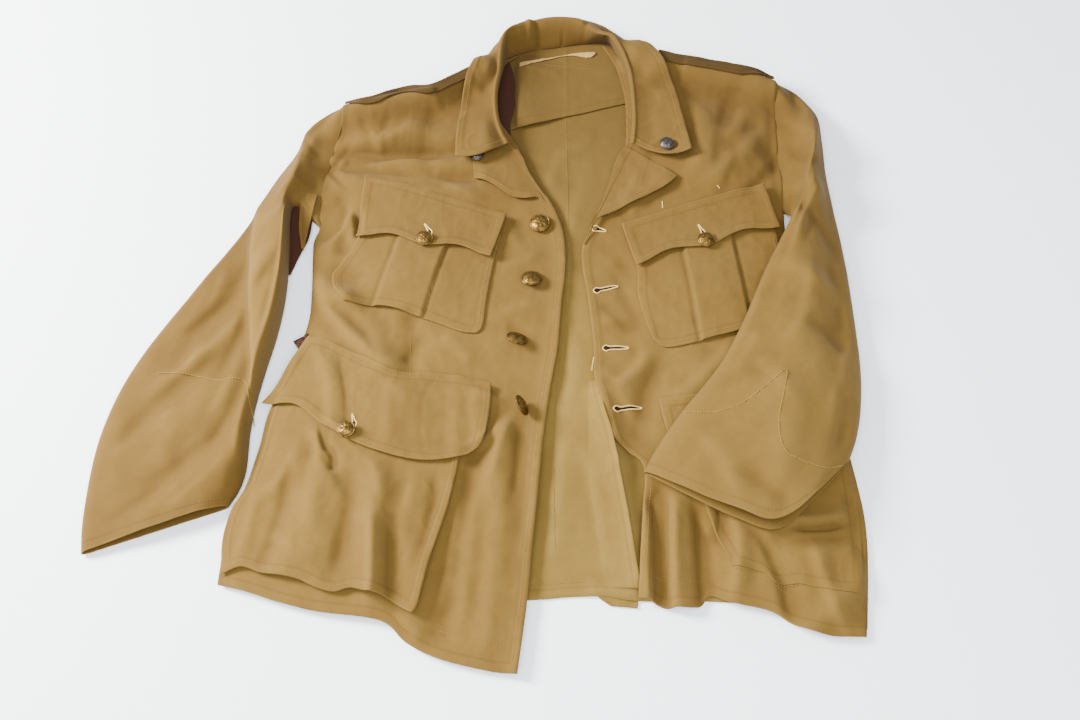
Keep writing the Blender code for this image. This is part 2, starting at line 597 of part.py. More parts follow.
def make_straps():
    """Shoulder straps, on the slope behind the ridge of each shoulder."""
    base = lambda x, y: front_top(x, y) + GAP
    for side, far, near in (("right", SHOULDER_RIGHT[:-2], -31.0), ("left", SHOULDER_LEFT[:-2], -31.0)):
        far = smooth_curve(far, 17.0)
        outline = joined(far + (0, -1.5), far[::-1] + (0, near))
        make_slab("shoulder_strap_" + side, outline, base, thickness=1.8, colour=DARK_KHAKI)


def ring_places(rows, across):
    """x and y of each ring's points from the outer edge to the inner one, bowed towards the cuff."""
    outer, inner = rows[:, 0:2], rows[:, 2:4]
    s = across[None, :, None]
    line = outer[:, None, :] * (1 - s) + inner[:, None, :] * s
    run = inner - outer
    run /= np.linalg.norm(run, axis=1)[:, None]
    normal = np.column_stack([run[:, 1], -run[:, 0]])
    down = np.where(normal[:, 1:2] > 0, -1.0, 1.0)
    place = rows[:, 5][:, None]
    s2 = across[None, :]
    hump = np.where(s2 < place, s2 / place, (1 - s2) / (1 - place))
    hump = np.sin(hump * math.pi / 2)
    return line + (rows[:, 4][:, None] * hump)[:, :, None] * (normal * down)[:, None, :]


def support_left(x, y):
    """Top of what lies under the left sleeve: the front with its pockets, and the table past the side."""
    body = joined(smooth_curve(ARMHOLE_LEFT, 20.0), smooth_curve(SIDE_LEFT, 20.0),
                  np.array([(90.0, -298.0), (40.0, -100.0), (40.0, 376.0)]))
    top = flap_base(x, y) + CLOTH + 0.5
    return np.where(inside(body, x, y), top, 0.0)


def widened(field, x, y, reach):
    """The highest value of a field within a reach of each place."""
    turns = np.arange(8) * math.pi / 4
    values = [field(x, y)]
    for part in (0.5, 1.0):
        for turn in turns:
            values.append(field(x + part * reach * math.cos(turn), y + part * reach * math.sin(turn)))
    return np.max(values, axis=0)


def eased_up(heights, rounds):
    """Heights that are only ever raised, towards the mean of their neighbours, so that steps become ramps."""
    for _ in range(rounds):
        padded = np.pad(heights, 1, mode="edge")
        mean = (padded[:-2, 1:-1] + padded[2:, 1:-1] + padded[1:-1, :-2] + padded[1:-1, 2:]) / 4
        heights = np.maximum(heights, mean)
    return heights


def armhole_points(rows, across, shift):
    """Points at even shares of an armhole's length, moved off its edge."""
    curve = smooth_curve(rows, 6.0)
    length = np.concatenate([[0.0], np.cumsum(np.linalg.norm(np.diff(curve, axis=0), axis=1))])
    at = across * length[-1]
    return np.column_stack([np.interp(at, length, curve[:, 0]) + shift, np.interp(at, length, curve[:, 1])])


def tube_rings(rows, support, settle, folds, armhole, shift):
    """Rings of a flattened tube: an underside on its support, a ridged top and two rounded side edges."""
    sides = np.array([0.0, 0.012, 0.05, 0.12, 0.22, 0.34, 0.46, 0.58, 0.70, 0.80, 0.89, 0.95, 0.988, 1.0])
    flat = np.array([0.95, 0.80, 0.6, 0.4, 0.2, 0.05])
    up = ring_places(rows, sides)
    down = ring_places(rows, flat)
    up[0] = armhole_points(armhole, sides, shift)
    down[0] = armhole_points(armhole, flat, shift)
    weight = np.clip(np.arange(len(rows)) / settle, 0, 1)[:, None]
    x, y = down[..., 0], down[..., 1]
    low = eased_up(widened(support, x, y, 12.0), 8) * weight
    xs, ys = up[..., 0], up[..., 1]
    floor = eased_up(widened(support, xs, ys, 12.0), 8) * weight
    ridge = rows[:, 7][:, None]
    s = sides[None, :]
    side = np.where(s < ridge, s / ridge, (1 - s) / (1 - ridge))
    round_edge = np.sqrt(np.maximum(1 - (1 - np.clip(s * (1 - s) * 14, 0, 1)) ** 2, 0))
    shape = 0.35 * round_edge + 0.65 * np.sin(side * math.pi / 2) ** 1.3
    own = floor + 2 * CLOTH + 1.6 + rows[:, 6][:, None] * shape * np.where((s > 0) & (s < 1), 1, 0)
    own = own + folds(xs, ys) * np.clip(s * (1 - s) * 6, 0, 1)
    own = np.maximum(own, floor + 2 * CLOTH + 1.6)
    seam = np.maximum(front_top(xs, ys), 2 * CLOTH + 1.9)
    top = seam * (1 - weight) + own * weight
    ends = (s == 0) | (s == 1)
    top = np.where(ends, floor + CLOTH + 0.8, top)
    low = np.minimum(low, floor.max(axis=1, keepdims=True))
    upper = np.dstack([xs, ys, top])
    lower = np.dstack([x, y, low])
    return np.concatenate([upper, lower], axis=1)


def tube_mesh(name, rings, wall=CLOTH):
    """A closed wall from rings of points: the rings, the same rings moved inwards, and a rim at each end."""
    count, around = rings.shape[:2]
    following = np.roll(rings, -1, axis=1) - np.roll(rings, 1, axis=1)
    along = np.gradient(rings, axis=0)
    normal = np.cross(following, along)
    normal /= np.maximum(np.linalg.norm(normal, axis=2), 1e-9)[..., None]
    middle = rings.mean(axis=1, keepdims=True)
    if np.sum(normal * (rings - middle)) < 0:
        normal = -normal
    inner = rings - wall * normal
    index = np.arange(count * around).reshape(count, around)
    nxt = np.roll(index, -1, axis=1)
    a, b, c, d = index[:-1].ravel(), nxt[:-1].ravel(), nxt[1:].ravel(), index[1:].ravel()
    outer_faces = np.vstack([np.column_stack([a, b, c]), np.column_stack([a, c, d])])
    size = count * around
    inner_faces = outer_faces[:, ::-1] + size
    rims = []
    for row, flip in ((0, True), (count - 1, False)):
        i, j = index[row], nxt[row]
        rim = np.vstack([np.column_stack([i, j, j + size]), np.column_stack([i, j + size, i + size])])
        rims.append(rim[:, ::-1] if flip else rim)
    faces = np.vstack([outer_faces, inner_faces] + rims)
    vertices = np.vstack([rings.reshape(-1, 3), inner.reshape(-1, 3)])
    return make_object(name, vertices, outward(vertices, faces))


def outward(vertices, faces):
    """Faces of a closed wall, turned so that they point outwards."""
    a, b, c = (vertices[faces[:, k]] for k in range(3))
    volume = np.sum(a * np.cross(b, c))
    return faces if volume > 0 else faces[:, ::-1]


def sleeve_folds_right(x, y):
    rows = [(-300, 120, -350, 40, 10, -4), (-318, 60, -390, -30, 11, -5), (-312, 10, -400, -90, 11, -4),
            (-300, -60, -380, -150, 11, -4), (-262, 262, -236, 262, 10, -5), (-268, 226, -244, 240, 9, -4)]
    return sum(crease(x, y, row) for row in rows)


def sleeve_folds_left(x, y):
    rows = [(300, 262, 300, 150, 14, 4), (270, 200, 290, 150, 12, -4), (250, 60, 300, 20, 13, -3),
            (200, -20, 270, -40, 13, -3), (240, -50, 235, -130, 12, 3), (312, 100, 318, 0, 10, -3)]
    return sum(crease(x, y, row) for row in rows)


def make_sleeves():
    for side, table, cut, support, folds, armhole, shift in (
            ("right", SLEEVE_RIGHT, CUFF_START_RIGHT, lambda x, y: 0.0 * x, sleeve_folds_right, ARMHOLE_RIGHT,
             -1.2),
            ("left", SLEEVE_LEFT, CUFF_START_LEFT, support_left, sleeve_folds_left, ARMHOLE_LEFT, 1.2)):
        rows = resample_rows(table, SLEEVE_RINGS)
        rings = tube_rings(rows, support, 3.0, folds, armhole, shift)
        sleeve = rings[:cut + 1]
        cuff = rings[cut:].copy()
        step = cuff[1] - cuff[0]
        cuff[0] += step / np.linalg.norm(step, axis=1)[:, None] * SEAM
        tube_mesh("sleeve_" + side, sleeve)
        tube_mesh("cuff_" + side, cuff)


def collar_support(x, y):
    """Top of what the collar's fall lies on: the fronts with the lapels and straps, and else the table."""
    body = joined(smooth_curve(SHOULDER_RIGHT[::-1], 20.0), np.array([(-222.0, 200.0), (-37.0, 200.0)]),
                  smooth_curve(NECK_RIGHT[::-1], 20.0))
    other = joined(smooth_curve(SHOULDER_LEFT[::-1], 20.0), np.array([(270.0, 200.0), (97.0, 200.0)]),
                   smooth_curve(NECK_LEFT[::-1], 20.0))
    on_body = inside(body, x, y) | inside(other, x, y)
    return np.where(on_body, front_top(x, y) + 2 * GAP + 2.4, 0.0)


def make_collar():
    rows = resample_rows(COLLAR, COLLAR_RINGS)
    roll, fall = rows[:, 2:5], rows[:, 5:7]
    count = len(rows)
    right_corner, left_corner = NECK_BACK[0][0], NECK_BACK[-1][0]
    on_back = np.clip((rows[:, 0] - right_corner) / 10, 0, 1) * np.clip((left_corner - rows[:, 0]) / 10, 0, 1)
    on_back = np.where(rows[:, 1] > NECK_BACK[0][1], on_back, 0.0)
    outward_way = fall - roll[:, :2]
    outward_way /= np.linalg.norm(outward_way, axis=1)[:, None]
    foot_place = rows[:, :2] - outward_way * (STAND_CLEAR * (1 - on_back))[:, None]
    foot = on_lattice(front_top, rows[:, 0], rows[:, 1]) + STAND_FOOT_FRONT
    seam = np.column_stack([foot_place, foot * (1 - on_back) + STAND_FOOT_BACK * on_back])
    ends = np.abs(np.linspace(-1, 1, count))
    points = []
    for t in (0.0, 0.4, 0.75):
        points.append(seam * (1 - t) + roll * t)
    radius = 4.0
    for angle in (150, 90, 30):
        turn = math.radians(angle)
        flat = roll[:, :2] + outward_way * radius * (1 + math.cos(turn))
        points.append(np.column_stack([flat, roll[:, 2] + radius * (math.sin(turn) - 1)]))
    start = points[-1]
    for t in (0.25, 0.5, 0.75, 1.0):
        flat = start[:, :2] * (1 - t) + fall * t
        bow = COLLAR_END_BOW * np.sin(math.pi * t) * np.clip((ends - 0.9) / 0.1, 0, 1)
        flat = flat + np.column_stack([0 * bow, -bow])
        lying = widened(collar_support, flat[:, 0], flat[:, 1], 9.0) + rows[:, 7] + CLOTH
        hang = start[:, 2] * (1 - t) + lying * t
        points.append(np.column_stack([flat, np.maximum(hang - 3.0 * math.sin(math.pi * t), lying)]))
    surface = np.stack(points, axis=1)
    shell("collar", surface, 1.8)
    return surface


def shell(name, surface, wall):
    """A wall on an open grid of points, moved inwards by its thickness."""
    count, across = surface.shape[:2]
    du = np.gradient(surface, axis=0)
    dv = np.gradient(surface, axis=1)
    normal = np.cross(du, dv)
    normal /= np.linalg.norm(normal, axis=2)[..., None]
    if normal[:, -2, 2].mean() < 0:
        normal = -normal
    inner = surface - wall * normal
    index = np.arange(count * across).reshape(count, across)
    a, b, c, d = index[:-1, :-1].ravel(), index[:-1, 1:].ravel(), index[1:, 1:].ravel(), index[1:, :-1].ravel()
    top = np.vstack([np.column_stack([a, b, c]), np.column_stack([a, c, d])])
    size = count * across
    border = border_edges(top)
    walls = np.vstack([np.column_stack([border[:, 1], border[:, 0], border[:, 0] + size]),
                       np.column_stack([border[:, 1], border[:, 0] + size, border[:, 1] + size])])
    faces = np.vstack([top, top[:, ::-1] + size, walls])
    vertices = np.vstack([surface.reshape(-1, 3), inner.reshape(-1, 3)])
    return make_object(name, vertices, outward(vertices, faces))


def make_studs(collar):
    """The dark domed studs: one on the left point of the collar, one under the edge of the right point."""
    fine = np.concatenate([collar[:-1] * (1 - t) + collar[1:] * t for t in np.linspace(0, 1, 7)])
    fine = np.concatenate([fine[:, :-1] * (1 - t) + fine[:, 1:] * t for t in np.linspace(0, 1, 7)]).reshape(-1, 3)

    def on_collar(x, y):
        away = np.hypot(fine[:, 0] - np.ravel(x)[:, None], fine[:, 1] - np.ravel(y)[:, None])
        return np.max(np.where(away < 4.0, fine[:, 2], 0.0), axis=1).reshape(np.shape(x))

    def on_lapel(x, y):
        return on_lattice(front_top, x, y) + GAP + CLOTH

    for name, x, y, surface in (("collar_stud_left", 142, 264, on_collar), ("collar_stud_right", -72, 245, on_lapel)):
        piece = turned(name, button_profile(COLLAR_STUD), 12, BRONZE, 0.4, 1.0)
        place_button(piece, x, y, 0, 0, surface)


def button_profile(diameter):
    """Half section of a domed button with a rolled rim and a short shank: radius, height."""
    r = diameter / 2
    return [(0.0, r * 0.42), (r * 0.45, r * 0.38), (r * 0.80, r * 0.24), (r, r * 0.12),
            (r * 0.94, 0.0), (r * 0.24, -0.1), (r * 0.22, -1.4), (0.0, -1.4)]


def turned(name, profile, sides, colour, roughness, metallic):
    """A solid of revolution from a half section that starts and ends on the axis."""
    work = bmesh.new()
    previous = [work.verts.new((r * MM, 0, z * MM)) for r, z in profile]
    edges = [work.edges.new((a, b)) for a, b in zip(previous, previous[1:])]
    bmesh.ops.spin(work, geom=previous + edges, cent=(0, 0, 0), axis=(0, 0, 1), angle=2 * math.pi,
                   steps=sides, use_merge=True)
    bmesh.ops.remove_doubles(work, verts=work.verts, dist=1e-6)
    bmesh.ops.triangulate(work, faces=work.faces)
    bmesh.ops.recalc_face_normals(work, faces=work.faces)
    mesh = bpy.data.meshes.new(name)
    work.to_mesh(mesh)
    work.free()
    mesh.materials.append(make_material(name, colour, roughness, metallic))
    piece = bpy.data.objects.new(name, mesh)
    bpy.context.collection.objects.link(piece)
    return piece


def place_button(piece, x, y, tilt, lean, surface):
    """Sets a button down, tilted, with its lowest point just clear of the cloth."""
    turn = Matrix.Rotation(math.radians(lean), 3, "Z") @ Matrix.Rotation(math.radians(tilt), 3, "Y")
    points = np.array([(turn @ v.co)[:] for v in piece.data.vertices]) / MM
    ground = np.maximum(widened(surface, points[:, 0] + x, points[:, 1] + y, 3.0), 0)
    lift = np.max(ground - points[:, 2]) + 0.4
    piece.matrix_world = Matrix.Translation((x * MM, y * MM, lift * MM)) @ turn.to_4x4()


def make_buttons():
    def on_cloth(field):
        return lambda x, y: on_lattice(field, np.clip(x, -460, 360), np.clip(y, -360, 490))
    for name, x, y, diameter, tilt, lean in FRONT_BUTTONS:
        piece = turned(name, button_profile(diameter), 12, BRASS, 0.35, 1.0)
        place_button(piece, x, y, tilt, lean, on_cloth(front_top))
    for name, x, y, diameter, tilt, lean in POCKET_BUTTONS:
        piece = turned(name, button_profile(diameter), 12, BRASS, 0.35, 1.0)
        base = plain_flap_base if name.startswith("skirt") else flap_base
        place_button(piece, x, y, tilt, lean, on_cloth(lambda a, b: base(a, b) + CLOTH))


def make_tape():
    """The cream tape sewn under the neck seam, on the facing."""
    row = smooth_curve([(-22, 408), (-3, 415), (20, 418.5), (45, 423.5), (66, 425)], 17.0)
    outline = joined(row, row[::-1] + (0, -8.0))
    make_slab("neck_tape", outline, lambda x, y: back_lift(x, y) + CLOTH + 1.2 + 2 * GAP, thickness=1.0,
              colour=CREAM)


def make_hook():
    """The dark belt hook at the right side, on the front under the side fold."""
    outline = [(-257, 19), (-242, 28), (-245, 12), (-250, 9)]
    make_slab("belt_hook", outline, lambda x, y: front_top(x, y) + GAP, thickness=1.5, colour=BRONZE)


def build():
    for item in list(bpy.data.objects):
        bpy.data.objects.remove(item, do_unlink=True)
    make_back()
    make_fronts()
    make_pockets()
    make_lapels()
    make_straps()
    make_sleeves()
    make_studs(make_collar())
    make_buttons()
    make_tape()
    make_hook()


build()
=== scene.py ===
"""Looks of a khaki drill service tunic that lies on its back with its front open.

Shapes are worked out in millimetres from the tables below and put into meshes in metres.  A cloth piece is a
surface over the table: a patch between four edge curves, whose height is the sum of the layers under it, of broad
swells and of creases.  Sleeves are flattened tubes through rings, and the collar is a stand and fall swept round
the neck.  Right and left are the wearer's.
"""

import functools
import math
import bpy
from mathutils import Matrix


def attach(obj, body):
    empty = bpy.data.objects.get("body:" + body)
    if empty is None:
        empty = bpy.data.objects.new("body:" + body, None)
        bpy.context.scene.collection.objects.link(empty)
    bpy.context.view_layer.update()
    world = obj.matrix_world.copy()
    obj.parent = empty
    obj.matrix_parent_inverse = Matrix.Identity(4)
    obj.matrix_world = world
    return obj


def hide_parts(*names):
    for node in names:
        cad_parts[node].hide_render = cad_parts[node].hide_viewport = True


bl_info = {
    "name": "Khaki drill tunic",
    "version": (1, 0, 0),
    "blender": (4, 5, 0),
    "location": "View3D > Sidebar > Tunic",
    "description": "Dresses the frame of a service tunic laid flat: cloth, seams, stitching, buttons and stage",
    "category": "Object",
}

import bpy
import numpy as np
from bpy.props import FloatProperty, FloatVectorProperty, PointerProperty
from mathutils import Matrix, Vector

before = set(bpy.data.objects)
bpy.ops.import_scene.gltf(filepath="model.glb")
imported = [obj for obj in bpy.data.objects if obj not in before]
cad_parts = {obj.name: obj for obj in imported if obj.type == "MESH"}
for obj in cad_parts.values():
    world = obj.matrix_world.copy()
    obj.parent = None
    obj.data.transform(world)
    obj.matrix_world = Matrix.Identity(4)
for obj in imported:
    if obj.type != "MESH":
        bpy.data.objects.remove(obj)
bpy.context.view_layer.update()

MM = 0.001
CLOTH = 1.5          # wall of one piece of drill
GAP = 0.3            # between pieces that lie on each other
FRONT_BUTTON = 22.5
POCKET_BUTTON = 18.5
COLLAR_STUD = 16.5

# Edges of the body, in the order of a walk along each: x, y
SIDE_RIGHT = [(-241, 164), (-246, 142), (-243, 85), (-243, 45), (-254, -5), (-268, -56), (-277, -105),
              (-284, -145), (-299, -172), (-303, -205), (-304, -247)]
SIDE_LEFT = [(268, 186), (269, 120), (275, 60), (286, 0), (300, -70), (309, -124), (314, -180), (311, -234),
             (302, -298)]
HEM_RIGHT = [(-304, -247), (-272, -256), (-245, -265), (-209, -274), (-165, -280), (-142, -286), (-122, -305),
             (-90, -320), (-50, -330), (-21, -334)]
HEM_LEFT = [(92, -262), (104, -264), (120, -271), (148, -270), (160, -258), (178, -266), (213, -274),
            (240, -290), (270, -298), (302, -298)]
OPENING_RIGHT = [(-21, -334), (-13, -271), (-8, -215), (-2, -151), (5, -75), (13, -20), (18, 10), (22, 60),
                 (27, 115), (24, 160), (12, 195), (0, 214), (-12, 236), (-22, 264), (-30, 282)]
OPENING_LEFT = [(92, -262), (98, -190), (103, -128), (88, -109), (72, -92), (65, -62), (56, -28), (56, 15),
                (51, 72), (46, 110), (46, 137), (54, 158), (63, 180), (77, 222), (86, 254), (97, 278)]
ARMHOLE_RIGHT = [(-222, 338), (-224, 312), (-229, 290), (-235, 262), (-240, 232), (-243, 195), (-241, 164)]
ARMHOLE_LEFT = [(270, 376), (271, 350), (271, 320), (269, 269), (270, 224), (268, 186)]
SHOULDER_RIGHT = [(-222, 338), (-192, 344), (-157, 360), (-124, 362), (-97, 378), (-72, 394), (-46, 407),
                  (-25, 413)]
SHOULDER_LEFT = [(270, 376), (250, 386), (209, 397), (172, 405), (138, 414), (110, 425), (74, 431)]
NECK_RIGHT = [(-25, 413), (-31, 398), (-35, 372), (-37, 342), (-37, 312), (-30, 282)]
NECK_LEFT = [(74, 431), (84, 408), (93, 378), (98, 348), (99, 318), (97, 278)]
NECK_BACK = [(-25, 413), (-15, 418.5), (-3, 422), (12, 424), (28, 427), (45, 430.5), (60, 432.5), (74, 431)]
HEM_BACK = [(-304, -243), (-200, -252), (-110, -262), (-11, -261), (29, -258), (60, -258), (89, -262),
            (150, -262), (220, -268), (304, -290)]
FACING_LOWER = [(-44, 303), (-20, 306), (3, 313), (22, 320), (50, 328), (76, 336), (112, 346)]
FACING_UPPER = [(-36, 418), (-18, 426), (-3, 430), (12, 432), (28, 435), (45, 438), (66, 443), (94, 438)]
FACING_RIGHT = [(-44, 303), (-44, 345), (-40, 384), (-36, 418)]
FACING_LEFT = [(112, 346), (110, 364), (106, 398), (94, 438)]

# Broad swells of the front above the back: x, y, reach x, reach y, height
SWELLS = [
    (-140, 262, 80, 95, 13),     # right chest
    (205, 275, 80, 95, 12),      # left chest
    (-130, 95, 95, 70, 7),       # right breast pocket
    (165, 90, 80, 70, 6),        # left breast pocket
    (-165, -60, 95, 60, 9),      # right waist
    (-185, -180, 90, 80, 10),    # right skirt
    (-60, -180, 50, 110, 5),     # right skirt, front
    (215, -60, 80, 80, 6),       # left waist
    (235, -215, 70, 60, 9),      # left skirt
    (-60, 330, 40, 60, 8),       # right neck
    (125, 350, 45, 60, 9),       # left neck
]

# Creases of the fronts: x and y of both ends, half width, height (a trough is negative)
FRONT_FOLDS = [
    (-224, 316, -192, 318, 17, 22),     # right shoulder ridge, at the sleeve
    (-192, 318, -124, 336, 17, 22),     # right shoulder ridge
    (-124, 336, -66, 376, 17, 20),      # right shoulder ridge, at the neck
    (110, 398, 172, 379, 17, 20),       # left shoulder ridge, at the neck
    (172, 379, 235, 366, 17, 22),       # left shoulder ridge
    (235, 366, 270, 352, 17, 22),       # left shoulder ridge, at the sleeve
    (-210, 262, -98, 262, 13, -5),      # trough over the right chest
    (-212, 246, -78, 232, 11, -5),      # second trough over the right chest
    (-222, 196, -240, 160, 12, -5),     # right armpit
    (-216, 160, -212, 135, 10, -5),     # beside the right armpit
    (-238, 88, -206, 66, 14, 6),        # side fold, upper
    (-206, 66, -158, -12, 14, 6),       # side fold, lower
    (-214, 108, -196, 96, 14, -4),      # hollow above the side fold
    (-135, 44, -133, -18, 9, -3),       # right dart
    (-160, -190, -159, -262, 16, 5),    # skirt pocket fold
    (-64, -120, -92, -290, 14, -5),     # beside the right bellows pocket
    (-36, -90, -46, -300, 16, 4),       # right skirt, inner roll
    (88, 108, 100, 40, 13, -4),         # beside the left breast pocket
    (250, 296, 258, 262, 15, -5),       # hollow over the left chest
    (188, 245, 206, 286, 14, 4),        # left chest fold
    (62, -30, 74, -88, 12, 4),          # left edge above the cuff
    (112, -165, 112, -268, 9, -6),      # left skirt groove
    (137, -170, 134, -270, 13, 6),      # left skirt ridge
    (98, -170, 100, -262, 9, 5),        # left skirt front roll
    (174, -172, 174, -200, 9, -4),      # short groove under the cuff
    (160, -205, 157, -268, 12, -4),     # left skirt, second groove
    (232, -205, 292, -200, 11, -4),     # crease under the cuff
    (300, -250, 250, -292, 13, 5),      # turned corner of the left skirt
]

# Creases of the back where it shows, as above
BACK_FOLDS = [
    (58, -40, 76, -120, 9, 3.5),        # edge of the back's fold, upper
    (76, -120, 92, -240, 9, 3.5),       # edge of the back's fold, lower
    (52, -252, 88, -254, 8, 3.0),       # roll at the back hem
    (20, -120, 10, -225, 14, 1.2),      # centre of the back skirt
]

# Where the back has them: lowest and highest x and y
BACK_CREASED = (np.array([-20.0, -290.0]), np.array([118.0, -10.0]))

# Corners of the breast flaps, from the top right corner of the wearer round: x, y
BREAST_FLAP_RIGHT = [(-194, 226), (-37, 176), (-53, 118), (-199, 146)]
BREAST_FLAP_LEFT = [(89, 165), (247, 216), (261, 158), (103, 108)]
BREAST_BAG_RIGHT = [(-190, 196), (-198, 146), (-212, 118), (-221, 101), (-217, 78), (-206, 60), (-180, 58),
                    (-156, 55), (-124, 44), (-100, 35), (-81, 28), (-66, 27), (-60, 36), (-56, 73), (-48, 125),
                    (-42, 152)]
BREAST_BAG_LEFT = [(96, 146), (104, 107), (104, 74), (111, 41), (118, 19), (130, 10), (154, 13), (182, 21),
                   (214, 30), (246, 40), (256, 52), (260, 100), (257, 158), (251, 194)]
# Box pleats of the breast bags: x and y of the middle line's ends, and width
PLEAT_RIGHT = (-127, 140, -149, 52, 52)
PLEAT_LEFT = (182, 132, 194, 24, 54)

SKIRT_FLAP_RIGHT = [(-241, 22), (-221, 17), (-198, 4), (-176, -9), (-155, -21), (-137, -24), (-111, -24),
                    (-79, -28), (-50, -36), (-50, -56), (-53, -84), (-58, -105), (-71, -117), (-84, -121),
                    (-107, -124), (-127, -123), (-150, -118), (-172, -110), (-190, -102), (-206, -92),
                    (-220, -82), (-235, -68), (-248, -60), (-267, -58), (-281, -56), (-268, -36), (-255, -5)]
SKIRT_BAG_RIGHT = [(-230, -8), (-195, -15), (-160, -34), (-90, -40), (-74, -56), (-80, -119), (-83, -141),
                   (-89, -171), (-96, -198), (-105, -230), (-114, -271), (-119, -279), (-132, -271), (-145, -263),
                   (-160, -261), (-177, -255), (-192, -258), (-209, -254), (-226, -246), (-244, -242),
                   (-264, -238), (-282, -232), (-301, -238), (-304, -205), (-299, -172), (-288, -148),
                   (-279, -105), (-272, -60), (-250, -20)]
SKIRT_FLAP_LEFT = [(120, -52), (150, -50), (200, -40), (250, -32), (286, -26), (294, -60), (296, -100),
                   (280, -128), (240, -140), (200, -138), (160, -122), (136, -106), (127, -88)]
SKIRT_BAG_LEFT = [(132, -66), (200, -54), (288, -42), (300, -90), (306, -140), (308, -200), (302, -258),
                  (272, -256), (245, -249), (222, -248), (210, -238), (181, -232), (172, -205), (158, -160),
                  (142, -110)]

# Belt hook: its corners, from the lower right one of the wearer round
HOOK = [(-250, 9), (-245, 12), (-242, 28), (-257, 19)]

# Neck tape: its upper edge, and how wide it shows (x, width)
TAPE_TOP = [(-24, 399), (-3, 407), (20, 413), (45, 419), (66, 421)]
TAPE_WIDTH = ([-22, -10, -2, 6, 30, 42, 58, 62, 66], [7.5, 5.0, 4.0, 1.3, 1.0, 3.0, 9.0, 8.0, 3.0])

LAPEL_RIGHT = [(-33, 278), (-22, 264), (-12, 236), (0, 214), (11, 194), (12, 181), (5, 191), (-2, 202),
               (-15, 200), (-32, 203), (-54, 218), (-74, 228), (-75, 262)]
LAPEL_LEFT = [(97, 276), (86, 254), (77, 222), (63, 180), (54, 158), (48, 140), (62, 170), (84, 182),
              (124, 204), (142, 215), (152, 226), (138, 240)]

# Rings of the right sleeve, from the armhole down:
# outer x, outer y, inner x, inner y, bow, bow place, height, ridge place
SLEEVE_RIGHT = [
    (-223.0, 337.0, -242.0, 165.0, -6, 0.5, 18, 0.30),
    (-246, 318, -253, 178, -4, 0.5, 24, 0.32),
    (-267, 295, -263, 188, 0, 0.5, 26, 0.35),
    (-276, 256, -270, 192, 0, 0.5, 24, 0.40),
    (-300, 214, -274, 184, 0, 0.5, 22, 0.45),
    (-318, 172, -273, 152, 0, 0.5, 24, 0.50),
    (-344, 122, -270, 110, 0, 0.5, 26, 0.55),
    (-363, 88, -270, 73, 2, 0.5, 26, 0.62),
    (-382, 54, -273, 35, 4, 0.5, 25, 0.70),
    (-404, 16, -279, 0, 5, 0.5, 23, 0.78),
    (-423, -26, -286, -40, 6, 0.5, 21, 0.84),
    (-436, -70, -290, -78, 6, 0.5, 19, 0.88),
    (-442, -112, -290, -104, 5, 0.5, 18, 0.85),
    (-443, -150, -290, -128, 4, 0.5, 17, 0.80),
    (-442, -186, -294, -148, 2, 0.5, 15, 0.70),
    (-438, -216, -303, -167, 0, 0.5, 13, 0.60),
]
# Rings of the left sleeve, as above
SLEEVE_LEFT = [
    (272.0, 375.0, 270.5, 187.0, 2, 0.5, 18, 0.30),
    (297, 350, 277, 176, 2, 0.5, 25, 0.32),
    (312, 326, 277, 163, 2, 0.5, 28, 0.35),
    (320, 298, 268, 150, 2, 0.5, 29, 0.38),
    (319, 252, 257, 133, 2, 0.5, 29, 0.40),
    (322, 200, 247, 115, 2, 0.5, 27, 0.42),
    (326, 155, 236, 92, 3, 0.5, 25, 0.45),
    (329, 108, 224, 64, 4, 0.5, 24, 0.48),
    (330, 60, 211, 34, 6, 0.5, 23, 0.50),
    (330, 18, 195, 2, 10, 0.5, 22, 0.50),
    (329, -18, 176, -30, 18, 0.5, 22, 0.48),
    (325, -50, 151, -60, 30, 0.45, 22, 0.45),
    (320, -76, 129, -90, 44, 0.42, 21, 0.42),
    (313, -100, 113, -115, 58, 0.42, 20, 0.42),
    (303, -124, 101, -137, 70, 0.42, 19, 0.42),
]
SLEEVE_RINGS = 17

# Broad folds of the sleeves, as for the fronts
SLEEVE_FOLDS_RIGHT = [(-300, 120, -350, 40, 10, -4), (-318, 60, -390, -30, 11, -5), (-312, 10, -400, -90, 11, -4),
                      (-300, -60, -380, -150, 11, -4)]
SLEEVE_FOLDS_LEFT = [(300, 262, 300, 150, 14, 4), (270, 200, 290, 150, 12, -4), (250, 60, 300, 20, 13, -3),
                     (200, -20, 270, -40, 13, -3), (240, -50, 235, -130, 12, 3), (312, 100, 318, 0, 10, -3)]

CUFF_START = 12             # the ring where a cuff starts

